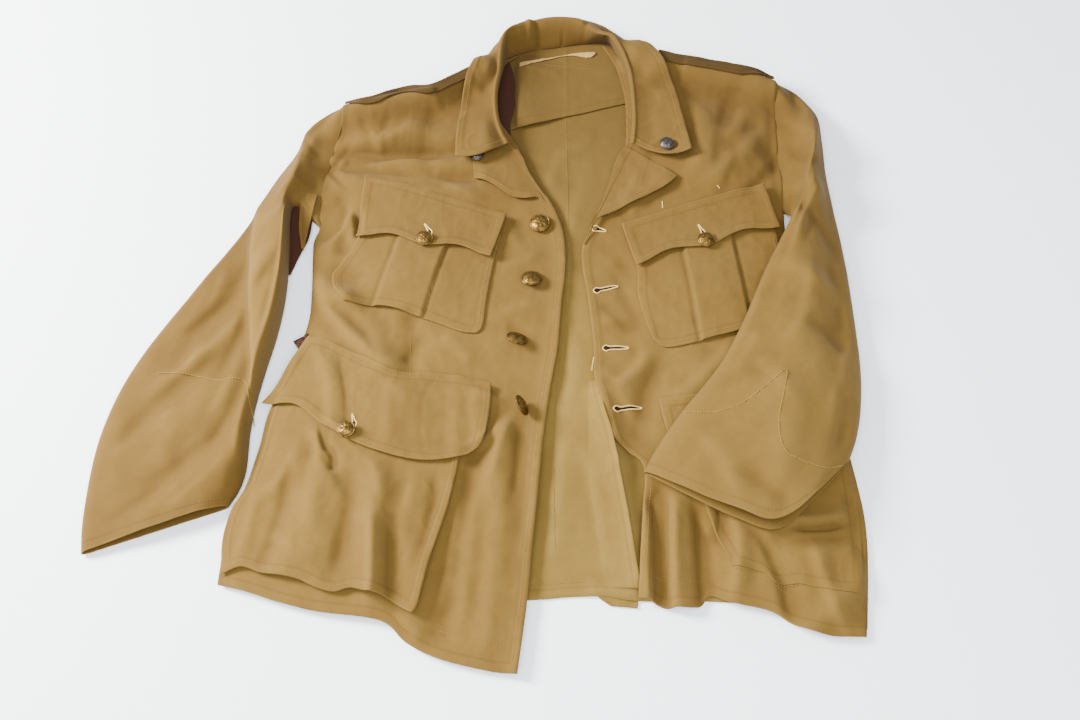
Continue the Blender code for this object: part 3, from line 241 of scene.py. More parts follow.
# Stations of the collar, from its right point round the neck to its left point:
# seam x, y; roll x, y, z; fall x, y, rise of the fall above what it lies on
COLLAR = [
    (-30, 284, -34, 271, 21, -94, 249, 6.5),
    (-34, 298, -42, 289, 24, -94, 268, 5.0),
    (-37, 314, -47, 311, 27, -92, 296, 3.5),
    (-37, 342, -48, 340, 30, -88, 329, 2.5),
    (-33.5, 372, -44, 372, 33, -82, 362, 2.0),
    (-29, 398, -42, 402, 35, -73, 390, 2.0),
    (-25, 413, -37, 424, 36, -64, 414, 2.0),
    (-15, 419, -26, 440, 36, -44, 446, 2.0),
    (-3, 422.6, -10, 450, 36, -18, 468, 1.5),
    (12, 424.6, 10, 455, 36, 10, 478, 1.0),
    (28, 427.6, 30, 455, 36, 36, 478, 1.0),
    (45, 431.2, 50, 450, 36, 62, 470, 1.5),
    (60, 433.2, 67, 438, 36, 90, 452, 2.0),
    (75, 431, 80, 419, 36, 110, 431, 2.0),
    (84, 408, 91, 399, 35, 126, 408, 2.0),
    (93, 378, 100, 370, 32, 142, 378, 2.0),
    (98, 348, 103, 338, 30, 154, 346, 2.0),
    (99, 318, 104, 306, 27, 160, 312, 2.5),
    (98, 298, 103, 286, 24, 165, 280, 3.5),
    (97, 285, 101, 271, 21, 168, 254, 4.5),
]
COLLAR_RINGS = 30
STAND_FOOT_BACK = 1.9       # height of the stand's foot at the back neck
STAND_FOOT_FRONT = 1.6      # and above the fronts
COLLAR_END_BOW = 9.0
COLLAR_LOWEST = 3.2         # so that its underside stays on the table
STUD_LEFT = (142, 264)
STUD_RIGHT = (-71, 253)

# Buttons: name, x, y, diameter, tilt in degrees, the way it leans in degrees
FRONT_BUTTONS = [
    ("front_button_1", 0, 166, FRONT_BUTTON, 8, 200),
    ("front_button_2", -9, 93, FRONT_BUTTON, 14, 90),
    ("front_button_3", -24, 18, FRONT_BUTTON, 34, 60),
    ("front_button_4", -19, -63, FRONT_BUTTON, 62, 15),
]
POCKET_BUTTONS = [
    ("breast_button_right", -124, 138, POCKET_BUTTON, 4, 270),
    ("breast_button_left", 179, 138, POCKET_BUTTON, 4, 270),
    ("skirt_button_right", -191, -94, POCKET_BUTTON, 6, 230),
]

# Finer folds, on every layer of the fronts: x and y of both ends, half width, height, bow to the left
# The star of creases round the right armhole, on the front and on the sleeve
ARMHOLE_STAR = [
    (-272, 286, -212, 212, 4.5, -1.9, 0), (-280, 250, -196, 238, 4.5, -1.6, 2),
    (-262, 206, -212, 280, 4.5, -1.8, -2), (-270, 226, -218, 264, 6, 1.4, 0),
]
FINE_RIGHT = [
    (-206, 256, -99, 258, 9, -2.2, 6), (-212, 238, -78, 220, 8, -2.6, -8),
    (-191, 288, -178, 262, 6, 1.8, 3), (-190, 268, -160, 276, 7, 1.6, 2),
    (-214, 192, -234, 147, 6, -2.6, 3), (-201, 181, -199, 147, 4, -2.4, 1),
    (-236, 82, -158, -14, 9, 4.2, -7), (-226, 62, -172, 16, 7, -3.2, 4), (-205, 40, -166, -2, 6, -1.6, 3),
    (-122, 28, -140, -12, 8, -1.6, 3), (-104, 24, -70, -12, 9, 1.6, 5), (-25, -68, -74, -108, 7, 1.8, 5),
    (-26, -74, -46, -140, 6, 2.0, -4), (-23, -78, -27, -166, 6, -1.8, 3), (-32, -50, -70, -44, 6, 1.8, 3),
    (-4, -92, -15, -230, 9, 1.8, 4), (-40, -100, -74, -268, 10, 1.6, -6),
    (-57, -143, -66, -306, 9, -1.5, 5), (-79, -164, -95, -280, 7, 2.0, 3), (2, 129, -38, 113, 8, 1.4, 3),
    (6, 66, -43, 50, 8, 1.3, -3), (-137, 308, -182, 264, 13, 2.4, 5), (-115, 323, -124, 236, 12, -2.0, -5),
    (-131, -275, -110, -306, 8, 1.8, 2), (-216, 192, -237, 146, 5, -3.0, 3),
    (-201, 177, -199, 147, 4, -2.6, 1), (-206, 184, -226, 146, 5, 2.6, 2),
    (-232, 264, -84, 264, 7, -3.4, -4), (-226, 250, -64, 224, 8, -3.0, -3),
    (-226, 274, -90, 284, 12, 2.6, 6), (-187, 277, -205, 306, 5, -1.1, 1),
    (-187, 277, -168, 309, 5, -1.1, -1), (-220, 262, -100, 264, 9, -1.4, -4),
] + ARMHOLE_STAR + [
    (-38, -226, -44, -332, 11, -1.1, 3), (-66, 300, -84, 250, 10, 1.6, 4), (-44, 190, -14, 140, 9, -1.4, 4),
    (8, 20, -36, 40, 8, -1.2, 3), (-150, 240, -60, 196, 7, 1.3, 4),
]
FINE_LEFT = [
    (112, 240, 86, 188, 8, 1.8, 4), (185, 339, 166, 222, 14, 2.6, 7), (227, 352, 200, 228, 12, -2.4, -6),
    (262, 309, 176, 215, 12, 2.8, 9), (275, 266, 222, 200, 9, -2.4, 5), (190, 208, 213, 268, 9, 2.0, -4),
    (69, 129, 102, 64, 8, 1.6, 4), (114, 8, 66, -46, 9, 2.8, 6), (129, 2, 98, -100, 11, -2.4, -6),
    (209, 26, 124, -58, 11, 2.4, 8), (81, -31, 109, -90, 9, 1.6, -3), (61, 66, 97, 28, 8, -1.4, 3),
    (117, -150, 113, -286, 4.4, -6.0, 3), (131, -158, 126, -276, 6, 5.0, -3),
    (104, -162, 100, -276, 5, 3.2, 2), (150, -168, 152, -262, 6, -3.2, 2),
    (176, -170, 174, -200, 5, -3.4, 1), (190, -184, 180, -266, 9, 4.0, 4),
    (211, -199, 234, -288, 9, -3.6, 5), (240, -193, 298, -186, 4, -3.2, -3),
    (238, -184, 298, -176, 6, 2.2, -3), (262, -205, 286, -297, 9, 3.2, -5),
    (294, -143, 305, -227, 9, -2.6, 3), (150, 372, 150, 300, 13, 1.8, 5), (120, 320, 128, 250, 10, -1.6, 3),
    (96, 178, 130, 214, 8, 1.4, 3), (64, 40, 100, 48, 7, 1.2, 2), (60, -18, 100, -30, 7, 1.3, -3),
    (236, 330, 214, 280, 8, 1.6, 3),
]
FINE_BACK = [
    (0, 246, 38, 162, 11, 1.0, 6), (57, 246, 28, 70, 10, 1.2, -8), (37, 36, 26, -74, 9, 1.0, 4),
    (30, -82, 14, -224, 11, 1.4, -6), (60, -38, 92, -224, 8, 2.2, 5), (44, -100, 66, -230, 8, 1.0, 3),
    (23, 288, 9, 216, 8, 0.9, 4), (62, 300, 20, 262, 9, 0.9, 5), (-16, 396, 26, 380, 7, 0.9, 3),
]
FINE_BAG_RIGHT = [
    (-159, -186, -158, -284, 7, 4.6, 2), (-142, -196, -139, -270, 8, -3.0, 2),
    (-236, -100, -273, -170, 10, 3.4, 6), (-207, -100, -210, -232, 13, 3.8, -9),
    (-244, -122, -262, -232, 9, -3.4, 6), (-183, -132, -197, -252, 10, -3.8, 7),
    (-117, -132, -130, -270, 10, 2.6, -5), (-101, -134, -114, -232, 7, -2.2, 4),
    (-276, -144, -287, -228, 8, 2.6, 4), (-224, -110, -186, -160, 8, -2.6, 5),
    (-170, -118, -150, -170, 8, 2.4, 4), (-262, -200, -210, -236, 8, 1.8, 4),
    (-216, -84, -208, -116, 4, -5.0, -2), (-208, -108, -203, -136, 4, -4.6, 3),
    (-226, -88, -216, -128, 7, 3.6, 2),
]
FINE_FLAP_RIGHT = [
    (-228, 6, -207, -86, 10, 2.6, 6), (-204, -2, -186, -110, 8, -2.2, 5), (-247, 12, -266, -56, 9, 2.4, -4),
    (-154, -29, -153, -118, 11, 1.6, 4), (-105, -33, -106, -122, 10, -1.5, -4),
    (-71, -36, -62, -112, 9, 1.6, 3), (-184, -18, -128, -62, 9, 1.4, 5),
    (-214, -74, -178, -104, 7, 2.2, -3),
]
FINE_SLEEVE_RIGHT = ARMHOLE_STAR + [
    (-250, 272, -272, 296, 6, 1.6, 2), (-266, 226, -288, 196, 6, 2.2, 3), (-262, 189, -303, 158, 8, 3.2, 5),
    (-267, 149, -305, 58, 8, -3.2, 7), (-288, 123, -313, -5, 10, 3.0, -8),
    (-303, 60, -331, -38, 9, -3.2, 6), (-302, 12, -330, -84, 8, 2.6, 5),
    (-303, -50, -329, -118, 8, -2.8, 4), (-287, 24, -295, -84, 6, 2.2, 3), (-336, 105, -347, 52, 7, 2.6, 4),
    (-308, -80, -384, -150, 9, -3.0, 6), (-316, 30, -398, -44, 9, 3.0, 7),
    (-330, -10, -412, -100, 10, -3.4, -7), (-322, 74, -372, 18, 8, -2.6, 5),
    (-300, -110, -360, -178, 8, 2.4, 4), (-360, -60, -430, -120, 9, 2.6, 5),
    (-252, 300, -268, 226, 8, 2.4, 4), (-279, 110, -288, 22, 5, -1.8, 3),
    (-340, -120, -420, -190, 8, -2.2, 5),
]
FINE_SLEEVE_LEFT = [
    (307, 211, 202, -2, 9, 3.4, -9), (268, 321, 303, 276, 8, 2.6, 4), (273, 277, 306, 220, 8, -3.0, 4),
    (274, 221, 310, 179, 8, 2.8, 3), (273, 180, 314, 113, 9, -3.0, 6), (242, 102, 315, 50, 10, 2.8, 7),
    (267, 28, 317, -10, 9, -2.8, 4), (225, 16, 190, -36, 9, 2.6, 4), (318, 18, 285, -90, 10, 3.0, 6),
    (267, 141, 227, 50, 11, -2.8, -8), (303, -43, 289, -122, 9, -2.6, 4), (157, -99, 191, -175, 10, 2.2, 5),
    (183, -142, 238, -188, 10, -2.2, 6), (313, 115, 318, 14, 7, 2.2, 3), (290, 250, 268, 168, 8, -2.4, 5),
    (212, -12, 256, -78, 10, 2.0, 6), (286, 96, 250, -10, 11, 2.2, 8), (310, 205, 262, 102, 5, 2.4, -4),
]
FINE_COLLAR = [
    (-6, 444, -2, 421, 3.5, -2.6, 1), (-14, 448, -12, 424, 4, 2.2, 1), (27, 440, 22, 413, 2.2, -1.2, 1),
    (-50, 418, -6, 450, 5, 2.6, 3), (4, 456, 52, 446, 4, -2.4, 3), (36, 462, 74, 440, 5, 2.2, -2),
    (-30, 436, -18, 470, 5, -2.0, 2), (56, 448, 48, 428, 3.5, -2.0, 2), (-62, 404, -34, 432, 6, -1.8, 2),
    (40, 470, 96, 440, 4, -1.6, -3), (-58, 330, -84, 352, 7, 1.4, 3), (112, 360, 146, 330, 8, 1.4, 3),
]

PATCH_STEP = 3.0            # grid of the fronts
BACK_STEP = 4.0
SMALL_STEP = 2.0            # grid of pockets, flaps, lapels and straps
EDGE_TURN = 0.45            # how much thicker an edge is where it is turned in
TURN_REACH = 9.0            # how far in it is turned
TURN_SOFT = 1.4             # over what length it gets thinner
FOLD_LEAN = 0.28            # how much steeper a fold is on one side
TUBE_AROUND = 5             # points for each one of a ring
TUBE_ALONG = 8
TUBE_UPPER = 13 * TUBE_AROUND   # points of a ring on its upper side
DEEPEST = -9.0              # the deepest that the fine folds of a sleeve go
COLLAR_ALONG = 8
COLLAR_ACROSS = 6


def fold(x, y, row):
    """A fold: a bell across a bowed line, steeper on one side, which dies out towards both ends of the line."""
    x0, y0, x1, y1, width, height, bow = row
    length = math.hypot(x1 - x0, y1 - y0)
    ux, uy = (x1 - x0) / length, (y1 - y0) / length
    along = ((x - x0) * ux + (y - y0) * uy) / length
    across = (y - y0) * ux - (x - x0) * uy - bow * 4 * along * (1 - along) * ((along > 0) & (along < 1))
    side = width * (1 + FOLD_LEAN * np.tanh(across / width))
    ends = np.exp(-np.maximum(np.abs(along - 0.5) * 2 - 0.5, 0) ** 2 / 0.16)
    depth = round(bpy.context.scene.tunic_cloth.fold_depth, 4)
    return depth * height * np.exp(-(across / side) ** 2) * ends


def folds(x, y, rows):
    """The sum of a table of folds."""
    return sum(fold(x, y, row) for row in rows)


def ripple(x, y, seed, size, height):
    """Low unevenness: the mean of sine waves in seeded directions, with lengths round a size."""
    draw = np.random.default_rng(seed)
    total = 0.0
    for turn, phase, length in zip(draw.uniform(0, math.pi, 14), draw.uniform(0, 2 * math.pi, 14),
                                   draw.uniform(0.6, 1.7, 14)):
        reach = 2 * math.pi / (size * length)
        total = total + np.sin((x * math.cos(turn) + y * math.sin(turn)) * reach + phase)
    return height * total / math.sqrt(14)


def creasing(x, y, seed, size, height):
    """Fine pressed creases: narrow ridges where an uneven field passes through nought."""
    field = ripple(x, y, seed, size, 1.0)
    return height * np.exp(-(field / 0.16) ** 2)


def worn_cloth(x, y, seed):
    """The unevenness that all cloth here has."""
    return (ripple(x, y, seed, 46.0, 0.42) + ripple(x, y, seed + 1, 17.0, 0.14)
            + creasing(x, y, seed + 2, 58.0, 0.28))


def fine_front(x, y):
    """Fine folds of both fronts, none past the middle of the opening."""
    return np.where(x < 35, folds(x, y, FINE_RIGHT), folds(x, y, FINE_LEFT)) + worn_cloth(x, y, 11)


# Edge of the fold on the back's skirt, from the left front's edge down to the hem
BACK_EDGE = [(58, -28), (64, -62), (72, -92), (78, -130), (84, -170), (89, -205), (92, -226), (95, -252)]
BACK_FOLD_INNER = [(46, -254), (40, -150), (44, -80), (48, -24)]

# Small strips behind the openings: name, left edge, right edge, height at y = 104 or None on the back, finish
# The two strips in the shade finish are dark sheets of painted shade, in the gap under the right arm and beside the
# collar's right roll
STRIPS = [
    ("drill_underarm_inside_painted_shade", [(-272, 104), (-273, 160), (-272, 207)],
     [(-268, 104), (-261, 126), (-252, 150), (-250, 176), (-249, 200)], 2.4, "shade"),
    ("drill_underarm", [(-258, 134), (-263, 164), (-264, 206)], [(-255, 134), (-252, 164), (-246, 206)], 7.0,
     "outer"),
    ("drill_back_hem", [(66, -267), (55, -258), (52, -242)], [(91, -269), (93, -256), (94, -240)], 2.0, "inner"),
    ("drill_neck_inside_painted_shade", [(-40, 286), (-52, 312), (-53, 350), (-48, 384), (-38, 410)],
     [(-33, 286), (-34, 312), (-27, 350), (-31, 384), (-38, 410)], None, "shade"),
]


def back_edge(x, y):
    """The fold's edge: a rise that falls off slowly towards the right front and steeply on its other side."""
    across = x - curve_x(BACK_EDGE, y)
    ends = np.clip((y + 258) / 12, 0, 1) * np.clip((-26 - y) / 14, 0, 1)
    return 1.6 * ends * np.exp(-np.where(across < 0, across / 24.0, across / 2.2) ** 2)


# Edge of the layer that lies over the outer face of the right sleeve, from the armpit to the cuff
SLEEVE_EDGE = [(-313, 183), (-312, 153), (-311, 115), (-305, 63), (-300, 24), (-294, -17), (-291, -60)]


def sleeve_edge(x, y):
    """A layer over the sleeve's inner part: the outer face sinks towards its edge, and past it the cloth rises."""
    across = x - curve_x(SLEEVE_EDGE, y)
    ends = np.clip((y + 70) / 50, 0, 1) * np.clip((200 - y) / 30, 0, 1)
    step = 0.5 + 0.5 * np.tanh(across / 1.8)
    sunk = -8.5 * np.exp(-(np.minimum(across, 0) / 34.0) ** 2)
    return ends * (sunk * (1 - step) + (0.6 + 0.09 * np.clip(across, 0, 45)) * step)


def welt(x, y, rows, width, height):
    """A narrow raised line along a table's rows, worked out from the nearest point of the smooth line."""
    line = smooth_curve(rows, 2.5)
    near = np.full(np.shape(x), 1e6)
    for px, py in line:
        near = np.minimum(near, (x - px) ** 2 + (y - py) ** 2)
    return height * np.exp(-near / width ** 2)


def back_top(x, y):
    """Top of the back where it shows between the fronts."""
    seam = crease(x, y, (31, 424, 30, -10, 1.6, 0.5))
    shown = np.exp(-np.maximum(np.abs(x - 35) - 75, 0) ** 2 / 200)
    return back_lift(x, y) + CLOTH + shown * np.maximum(
        folds(x, y, FINE_BACK) + worn_cloth(x, y, 5) * 0.7 + seam + back_edge(x, y), 0)


def spline(a, b, c, d, t):
    """Catmull-Rom points at shares t of the way from b to c."""
    return 0.5 * (2 * b + (c - a) * t + (2 * a - 5 * b + 4 * c - d) * t ** 2 + (3 * b - a - 3 * c + d) * t ** 3)


def extended(rows):
    """Rows with one more at each end, straight on from the last two."""
    return np.concatenate([2 * rows[:1] - rows[1:2], rows, 2 * rows[-1:] - rows[-2:-1]])


def smooth_curve(rows, spacing):
    """Points about a spacing apart on a Catmull-Rom curve through a table's rows."""
    rows = np.asarray(rows, float)
    ends = extended(rows)
    points = []
    for i in range(len(rows) - 1):
        a, b, c, d = ends[i:i + 4]
        steps = max(1, int(round(np.linalg.norm((c - b)[:2]) / spacing)))
        t = (np.arange(steps) / steps)[:, None]
        points.append(spline(a, b, c, d, t))
    return np.vstack(points + [rows[-1:]])


def resample_rows(rows, count):
    """A table's rows on smooth curves at a number of even steps."""
    rows = np.asarray(rows, float)
    ends = extended(rows)
    places = np.linspace(0, len(rows) - 1, count)
    i = np.minimum(places.astype(int), len(rows) - 2)
    t = (places - i)[:, None]
    return spline(*(ends[i + k] for k in range(4)), t)


def run_along(line):
    """Length from the start of a line to each of its points."""
    return np.concatenate([[0.0], np.cumsum(np.linalg.norm(np.diff(line, axis=0), axis=1))])


def points_at(line, run, at):
    """Points of a line at given lengths along it."""
    return np.column_stack([np.interp(at, run, column) for column in line.T])


def crease(x, y, row):
    """A soft ridge or trough: a bell across a line between two points, which fades past its ends."""
    x0, y0, x1, y1, width, height = row
    length = math.hypot(x1 - x0, y1 - y0)
    ux, uy = (x1 - x0) / length, (y1 - y0) / length
    along = (x - x0) * ux + (y - y0) * uy
    across = (y - y0) * ux - (x - x0) * uy
    past = np.maximum(np.maximum(-along, along - length), 0.0)
    return height * np.exp(-(across / width) ** 2 - (past / width) ** 2)


def creases(x, y, rows):
    """The sum of a table of creases."""
    return sum(crease(x, y, row) for row in rows)


def ridge_max(x, y, rows):
    """The highest of several ridges, so that ridges in a chain don't add up where they join."""
    return np.max([crease(x, y, row) for row in rows], axis=0)


def swell(x, y, row):
    """A broad dome."""
    cx, cy, rx, ry, height = row
    return height * np.exp(-((x - cx) / rx) ** 2 - ((y - cy) / ry) ** 2)


def curve_x(rows, y):
    """x of an edge at given y."""
    rows = np.asarray(rows, float)
    order = np.argsort(rows[:, 1])
    return np.interp(y, rows[order, 1], rows[order, 0])


def rise_from(distance, reach):
    """0 at an edge and 1 at a reach from it, with a round shoulder."""
    t = np.clip(distance / reach, 0.0, 1.0)
    return np.sqrt(1.0 - (1.0 - t) ** 2)


def back_lift(x, y):
    """Height of the back's underside over the table: flat but for the creases that show."""
    height = creases(x, y, BACK_FOLDS)
    low, high = BACK_CREASED
    held = (x > low[0]) & (x < high[0]) & (y > low[1]) & (y < high[1])
    return np.where(held & (height > 0.2), height, 0.0)


def front_air(x, y):
    """Room between the back and a front."""
    from_right = x - curve_x(SIDE_RIGHT + ARMHOLE_RIGHT[::-1][1:], y)
    from_left = curve_x(SIDE_LEFT + ARMHOLE_LEFT[::-1][1:], y) - x
    edge = rise_from(np.minimum(from_right, from_left), 22.0)
    body = sum(swell(x, y, row) for row in SWELLS) + 3.0
    body = body + creases(x, y, FRONT_FOLDS[6:])
    ridge = np.maximum(ridge_max(x, y, FRONT_FOLDS[:3]), ridge_max(x, y, FRONT_FOLDS[3:6]))
    fade = rise_from(shoulder_distance(x, y), 30.0)
    upper = np.clip(y - 150.0, 0.0, 60.0) / 60.0
    sides = edge * (1 - upper) + np.maximum(edge, 0.75) * upper
    air = np.maximum(body * fade, 0.0) * sides + ridge * fade
    return air * (0.15 + 0.85 * rise_from(neck_distance(x, y), 34.0))


def neck_distance(x, y):
    """Distance from the neck edges of the fronts."""
    near = np.full(np.shape(x), 1e6)
    for px, py in np.vstack([smooth_curve(NECK_RIGHT, 12.0), smooth_curve(NECK_LEFT, 12.0)]):
        near = np.minimum(near, np.hypot(x - px, y - py))
    return near


def shoulder_distance(x, y):
    """Distance in y from the far edge of the shoulders."""
    right = np.asarray(SHOULDER_RIGHT, float)
    left = np.asarray(SHOULDER_LEFT, float)[::-1]
    rows = np.vstack([right, left])
    return np.interp(x, rows[:, 0], rows[:, 1]) - y


def front_base(x, y):
    """Underside of the fronts."""
    return back_lift(x, y) + CLOTH + GAP + np.maximum(front_air(x, y) + fine_front(x, y), 0.9)


def front_top(x, y):
    """Top of the fronts."""
    return front_base(x, y) + CLOTH


def bag_puff(x, y):
    """Extra room that the pocket bags hold: a low dome on each, and the bellows of the right skirt pocket."""
    puff = swell(x, y, (-140, 90, 48, 34, 3.5)) + swell(x, y, (182, 80, 48, 36, 3.0))
    puff = puff + swell(x, y, (-190, -190, 84, 62, 8.0)) + swell(x, y, (-110, -240, 22, 52, 5.0))
    puff = puff + crease(x, y, (-160, -150, -158, -280, 15, 5.0)) + crease(x, y, (-226, -170, -240, -236, 18, 3.0))
    return puff


def bag_base(x, y):
    """Underside of the pocket bags, with the folds of the bellows bag."""
    own = bag_puff(x, y) + np.where((x < -60) & (y < -60), 0.7 * folds(x, y, FINE_BAG_RIGHT), 0.0)
    return front_top(x, y) + GAP + np.maximum(own, 0.0)


def plain_flap_base(x, y):
    """Underside of the skirt flaps, over their bags."""
    own = np.where((x < -40) & (y < 30), folds(x, y, FINE_FLAP_RIGHT), 0.0)
    return bag_base(x, y) + CLOTH + GAP + np.maximum(own + 0.6 + 1.5 * np.exp(-((x + 82) / 9) ** 2), 0.0)


def flap_base(x, y):
    """Underside of the breast flaps, over the bags and the pleats that lie on them."""
    return bag_base(x, y) + 2 * CLOTH + GAP


def inside(polygon, x, y):
    """True where a point is inside a polygon, by the even-odd rule."""
    polygon = np.asarray(polygon, float)
    a, b = polygon, np.roll(polygon, -1, axis=0)
    hit = np.zeros(np.shape(x), bool)
    for (x0, y0), (x1, y1) in zip(a, b):
        if y0 == y1:
            continue
        cross = (y0 > y) != (y1 > y)
        hit ^= cross & (x < (x1 - x0) * (y - y0) / (y1 - y0) + x0)
    return hit


def joined(*edges):
    """One outline from edges that follow each other, each end point once."""
    points = np.vstack(edges)
    keep = np.linalg.norm(points - np.roll(points, -1, axis=0), axis=1) > 0.4
    return points[keep]


def armhole_points(rows, across, shift):
    """Points at given shares of an armhole's length, moved off its edge."""
    curve = smooth_curve(rows, 6.0)
    run = run_along(curve)
    return points_at(curve, run, across * run[-1]) + (shift, 0.0)


def ring_places(rows, across):
    """x and y of each ring's points from the outer edge to the inner one, bowed towards the cuff."""
    outer, inner = rows[:, 0:2], rows[:, 2:4]
    s = across[None, :, None]
    line = outer[:, None, :] * (1 - s) + inner[:, None, :] * s
    run = inner - outer
    run /= np.linalg.norm(run, axis=1)[:, None]
    normal = np.column_stack([run[:, 1], -run[:, 0]])
    down = np.where(normal[:, 1:2] > 0, -1.0, 1.0)
    place = rows[:, 5][:, None]
    s2 = across[None, :]
    hump = np.where(s2 < place, s2 / place, (1 - s2) / (1 - place))
    hump = 0.35 * np.sin(hump * math.pi / 2) + 0.65 * hump
    return line + (rows[:, 4][:, None] * hump)[:, :, None] * (normal * down)[:, None, :]


def support_left(x, y):
    """Top of what lies under the left sleeve: the front with its pockets, and the table past the side."""
    body = joined(smooth_curve(ARMHOLE_LEFT, 20.0), smooth_curve(SIDE_LEFT, 20.0),
                  np.array([(90.0, -298.0), (40.0, -100.0), (40.0, 376.0)]))
    top = flap_base(x, y) + CLOTH + 0.5
    return np.where(inside(body, x, y), top, 0.0)


def widened(field, x, y, reach):
    """The highest value of a field within a reach of each place."""
    turns = np.arange(8) * math.pi / 4
    values = [field(x, y)]
    for part in (0.5, 1.0):
        for turn in turns:
            values.append(field(x + part * reach * math.cos(turn), y + part * reach * math.sin(turn)))
    return np.max(values, axis=0)


def eased_up(heights, rounds):
    """Heights that are only ever raised, towards the mean of their neighbours, so that steps become ramps."""
    for _ in range(rounds):
        padded = np.pad(heights, 1, mode="edge")
        mean = (padded[:-2, 1:-1] + padded[2:, 1:-1] + padded[1:-1, :-2] + padded[1:-1, 2:]) / 4
        heights = np.maximum(heights, mean)
    return heights


def tube_rings(rows, support, settle, fold_rows, armhole, shift):
    """Rings of a flattened tube: an underside on its support, a ridged top and two rounded side edges."""
    sides = np.array([0.0, 0.012, 0.05, 0.12, 0.22, 0.34, 0.46, 0.58, 0.70, 0.80, 0.89, 0.95, 0.988, 1.0])
    flat = np.array([0.95, 0.80, 0.6, 0.4, 0.2, 0.05])
    up = ring_places(rows, sides)
    down = ring_places(rows, flat)
    up[0] = armhole_points(armhole, sides, shift)
    down[0] = armhole_points(armhole, flat, shift)
    weight = np.clip(np.arange(len(rows)) / settle, 0, 1)[:, None]
    x, y = down[..., 0], down[..., 1]
    low = eased_up(widened(support, x, y, 12.0), 8) * weight
    xs, ys = up[..., 0], up[..., 1]
    floor = eased_up(widened(support, xs, ys, 12.0), 8) * weight
    ridge = rows[:, 7][:, None]
    s = sides[None, :]
    side = np.where(s < ridge, s / ridge, (1 - s) / (1 - ridge))
    round_edge = np.sqrt(np.maximum(1 - (1 - np.clip(s * (1 - s) * 14, 0, 1)) ** 2, 0))
    shape = 0.35 * round_edge + 0.65 * np.sin(side * math.pi / 2) ** 1.3
    own = floor + 2 * CLOTH + 1.6 + rows[:, 6][:, None] * shape * np.where((s > 0) & (s < 1), 1, 0)
    own = own + creases(xs, ys, fold_rows) * np.clip(s * (1 - s) * 6, 0, 1)
    own = np.maximum(own, floor + 2 * CLOTH + 1.6)
    seam = np.maximum(front_top(xs, ys), 2 * CLOTH + 1.9)
    top = seam * (1 - weight) + own * weight
    ends = (s == 0) | (s == 1)
    top = np.where(ends, floor + CLOTH + 0.8, top)
    low = np.minimum(low, floor.max(axis=1, keepdims=True))
    upper = np.dstack([xs, ys, top])
    lower = np.dstack([x, y, low])
    return np.concatenate([upper, lower], axis=1)


def denser(grid, axis, factor, closed=False):
    """A grid with Catmull-Rom points put between its own ones along one axis."""
    rows = np.moveaxis(grid, axis, 0)
    count = len(rows)
    places = np.arange(count * factor if closed else (count - 1) * factor + 1) / factor
    i = places.astype(int) if closed else np.minimum(places.astype(int), count - 2)
    t = (places - i).reshape((-1,) + (1,) * (rows.ndim - 1))
    if closed:
        a, b, c, d = (rows[(i + k) % count] for k in (-1, 0, 1, 2))
    else:
        ends = extended(rows)
        a, b, c, d = (ends[i + k] for k in range(4))
    return np.moveaxis(spline(a, b, c, d, t), 0, axis)


def even(rows, count, smooth=True):
    """A number of points at even steps of length along a table's rows."""
    curve = smooth_curve(rows, 3.0) if smooth else np.asarray(rows, float)
    run = run_along(curve)
    return points_at(curve, run, np.linspace(0, run[-1], count))


def run_length(rows):
    """Length of the straight lines through a table's rows."""
    return np.sum(np.linalg.norm(np.diff(np.asarray(rows, float), axis=0), axis=1))


def patch(bottom, top, left, right, step, smooth=True):
    """A patch between four edges: the blend of left and right, and of bottom and top, less that of the corners.

    Bottom and top run from left to right, left and right run upwards.
    """
    wide = int(max(run_length(bottom), run_length(top)) / step) + 2
    tall = int(max(run_length(left), run_length(right)) / step) + 2
    b, t = even(bottom, wide, smooth), even(top, wide, smooth)
    l, r = even(left, tall, smooth), even(right, tall, smooth)
    u = np.linspace(0, 1, wide)[:, None, None]
    v = np.linspace(0, 1, tall)[None, :, None]
    corners = ((1 - u) * (1 - v) * l[0] + u * (1 - v) * r[0] + (1 - u) * v * l[-1] + u * v * r[-1])
    return (1 - v) * b[:, None] + v * t[:, None] + (1 - u) * l[None] + u * r[None] - corners


def walk(outline, start, stop):
    """The rows of a closed outline from one index forward to another."""
    count = (stop - start) % len(outline)
    return [outline[(start + k) % len(outline)] for k in range(count + 1)]


def outline_patch(outline, corners, step, smooth=True):
    """A patch inside a closed outline, from the indexes of its corners in the order of its rows, top left first."""
    x, y = np.asarray(outline, float).T
    a, b, c, d = corners
    if np.sum(x * np.roll(y, -1) - y * np.roll(x, -1)) > 0:
        left, bottom = walk(outline, a, b)[::-1], walk(outline, b, c)
        right, top = walk(outline, c, d), walk(outline, d, a)[::-1]
    else:
        top, right = walk(outline, a, b), walk(outline, b, c)[::-1]
        bottom, left = walk(outline, c, d)[::-1], walk(outline, d, a)
    return patch(bottom, top, left, right, step, smooth)


def edge_distances(grid):
    """Distance of each point from the left, right, bottom and top side, along its own row."""
    across = np.linalg.norm(np.diff(grid, axis=0), axis=-1)
    along = np.linalg.norm(np.diff(grid, axis=1), axis=-1)
    from_left = np.concatenate([np.zeros((1, grid.shape[1])), np.cumsum(across, axis=0)])
    from_bottom = np.concatenate([np.zeros((grid.shape[0], 1)), np.cumsum(along, axis=1)], axis=1)
    return {"left": from_left, "right": from_left[-1:] - from_left,
            "bottom": from_bottom, "top": from_bottom[:, -1:] - from_bottom}


def turned_in(near):
    """1 at an edge that is turned in and 0 past its seam, with a soft step between."""
    return 0.5 - 0.5 * np.tanh((near - TURN_REACH) / TURN_SOFT)


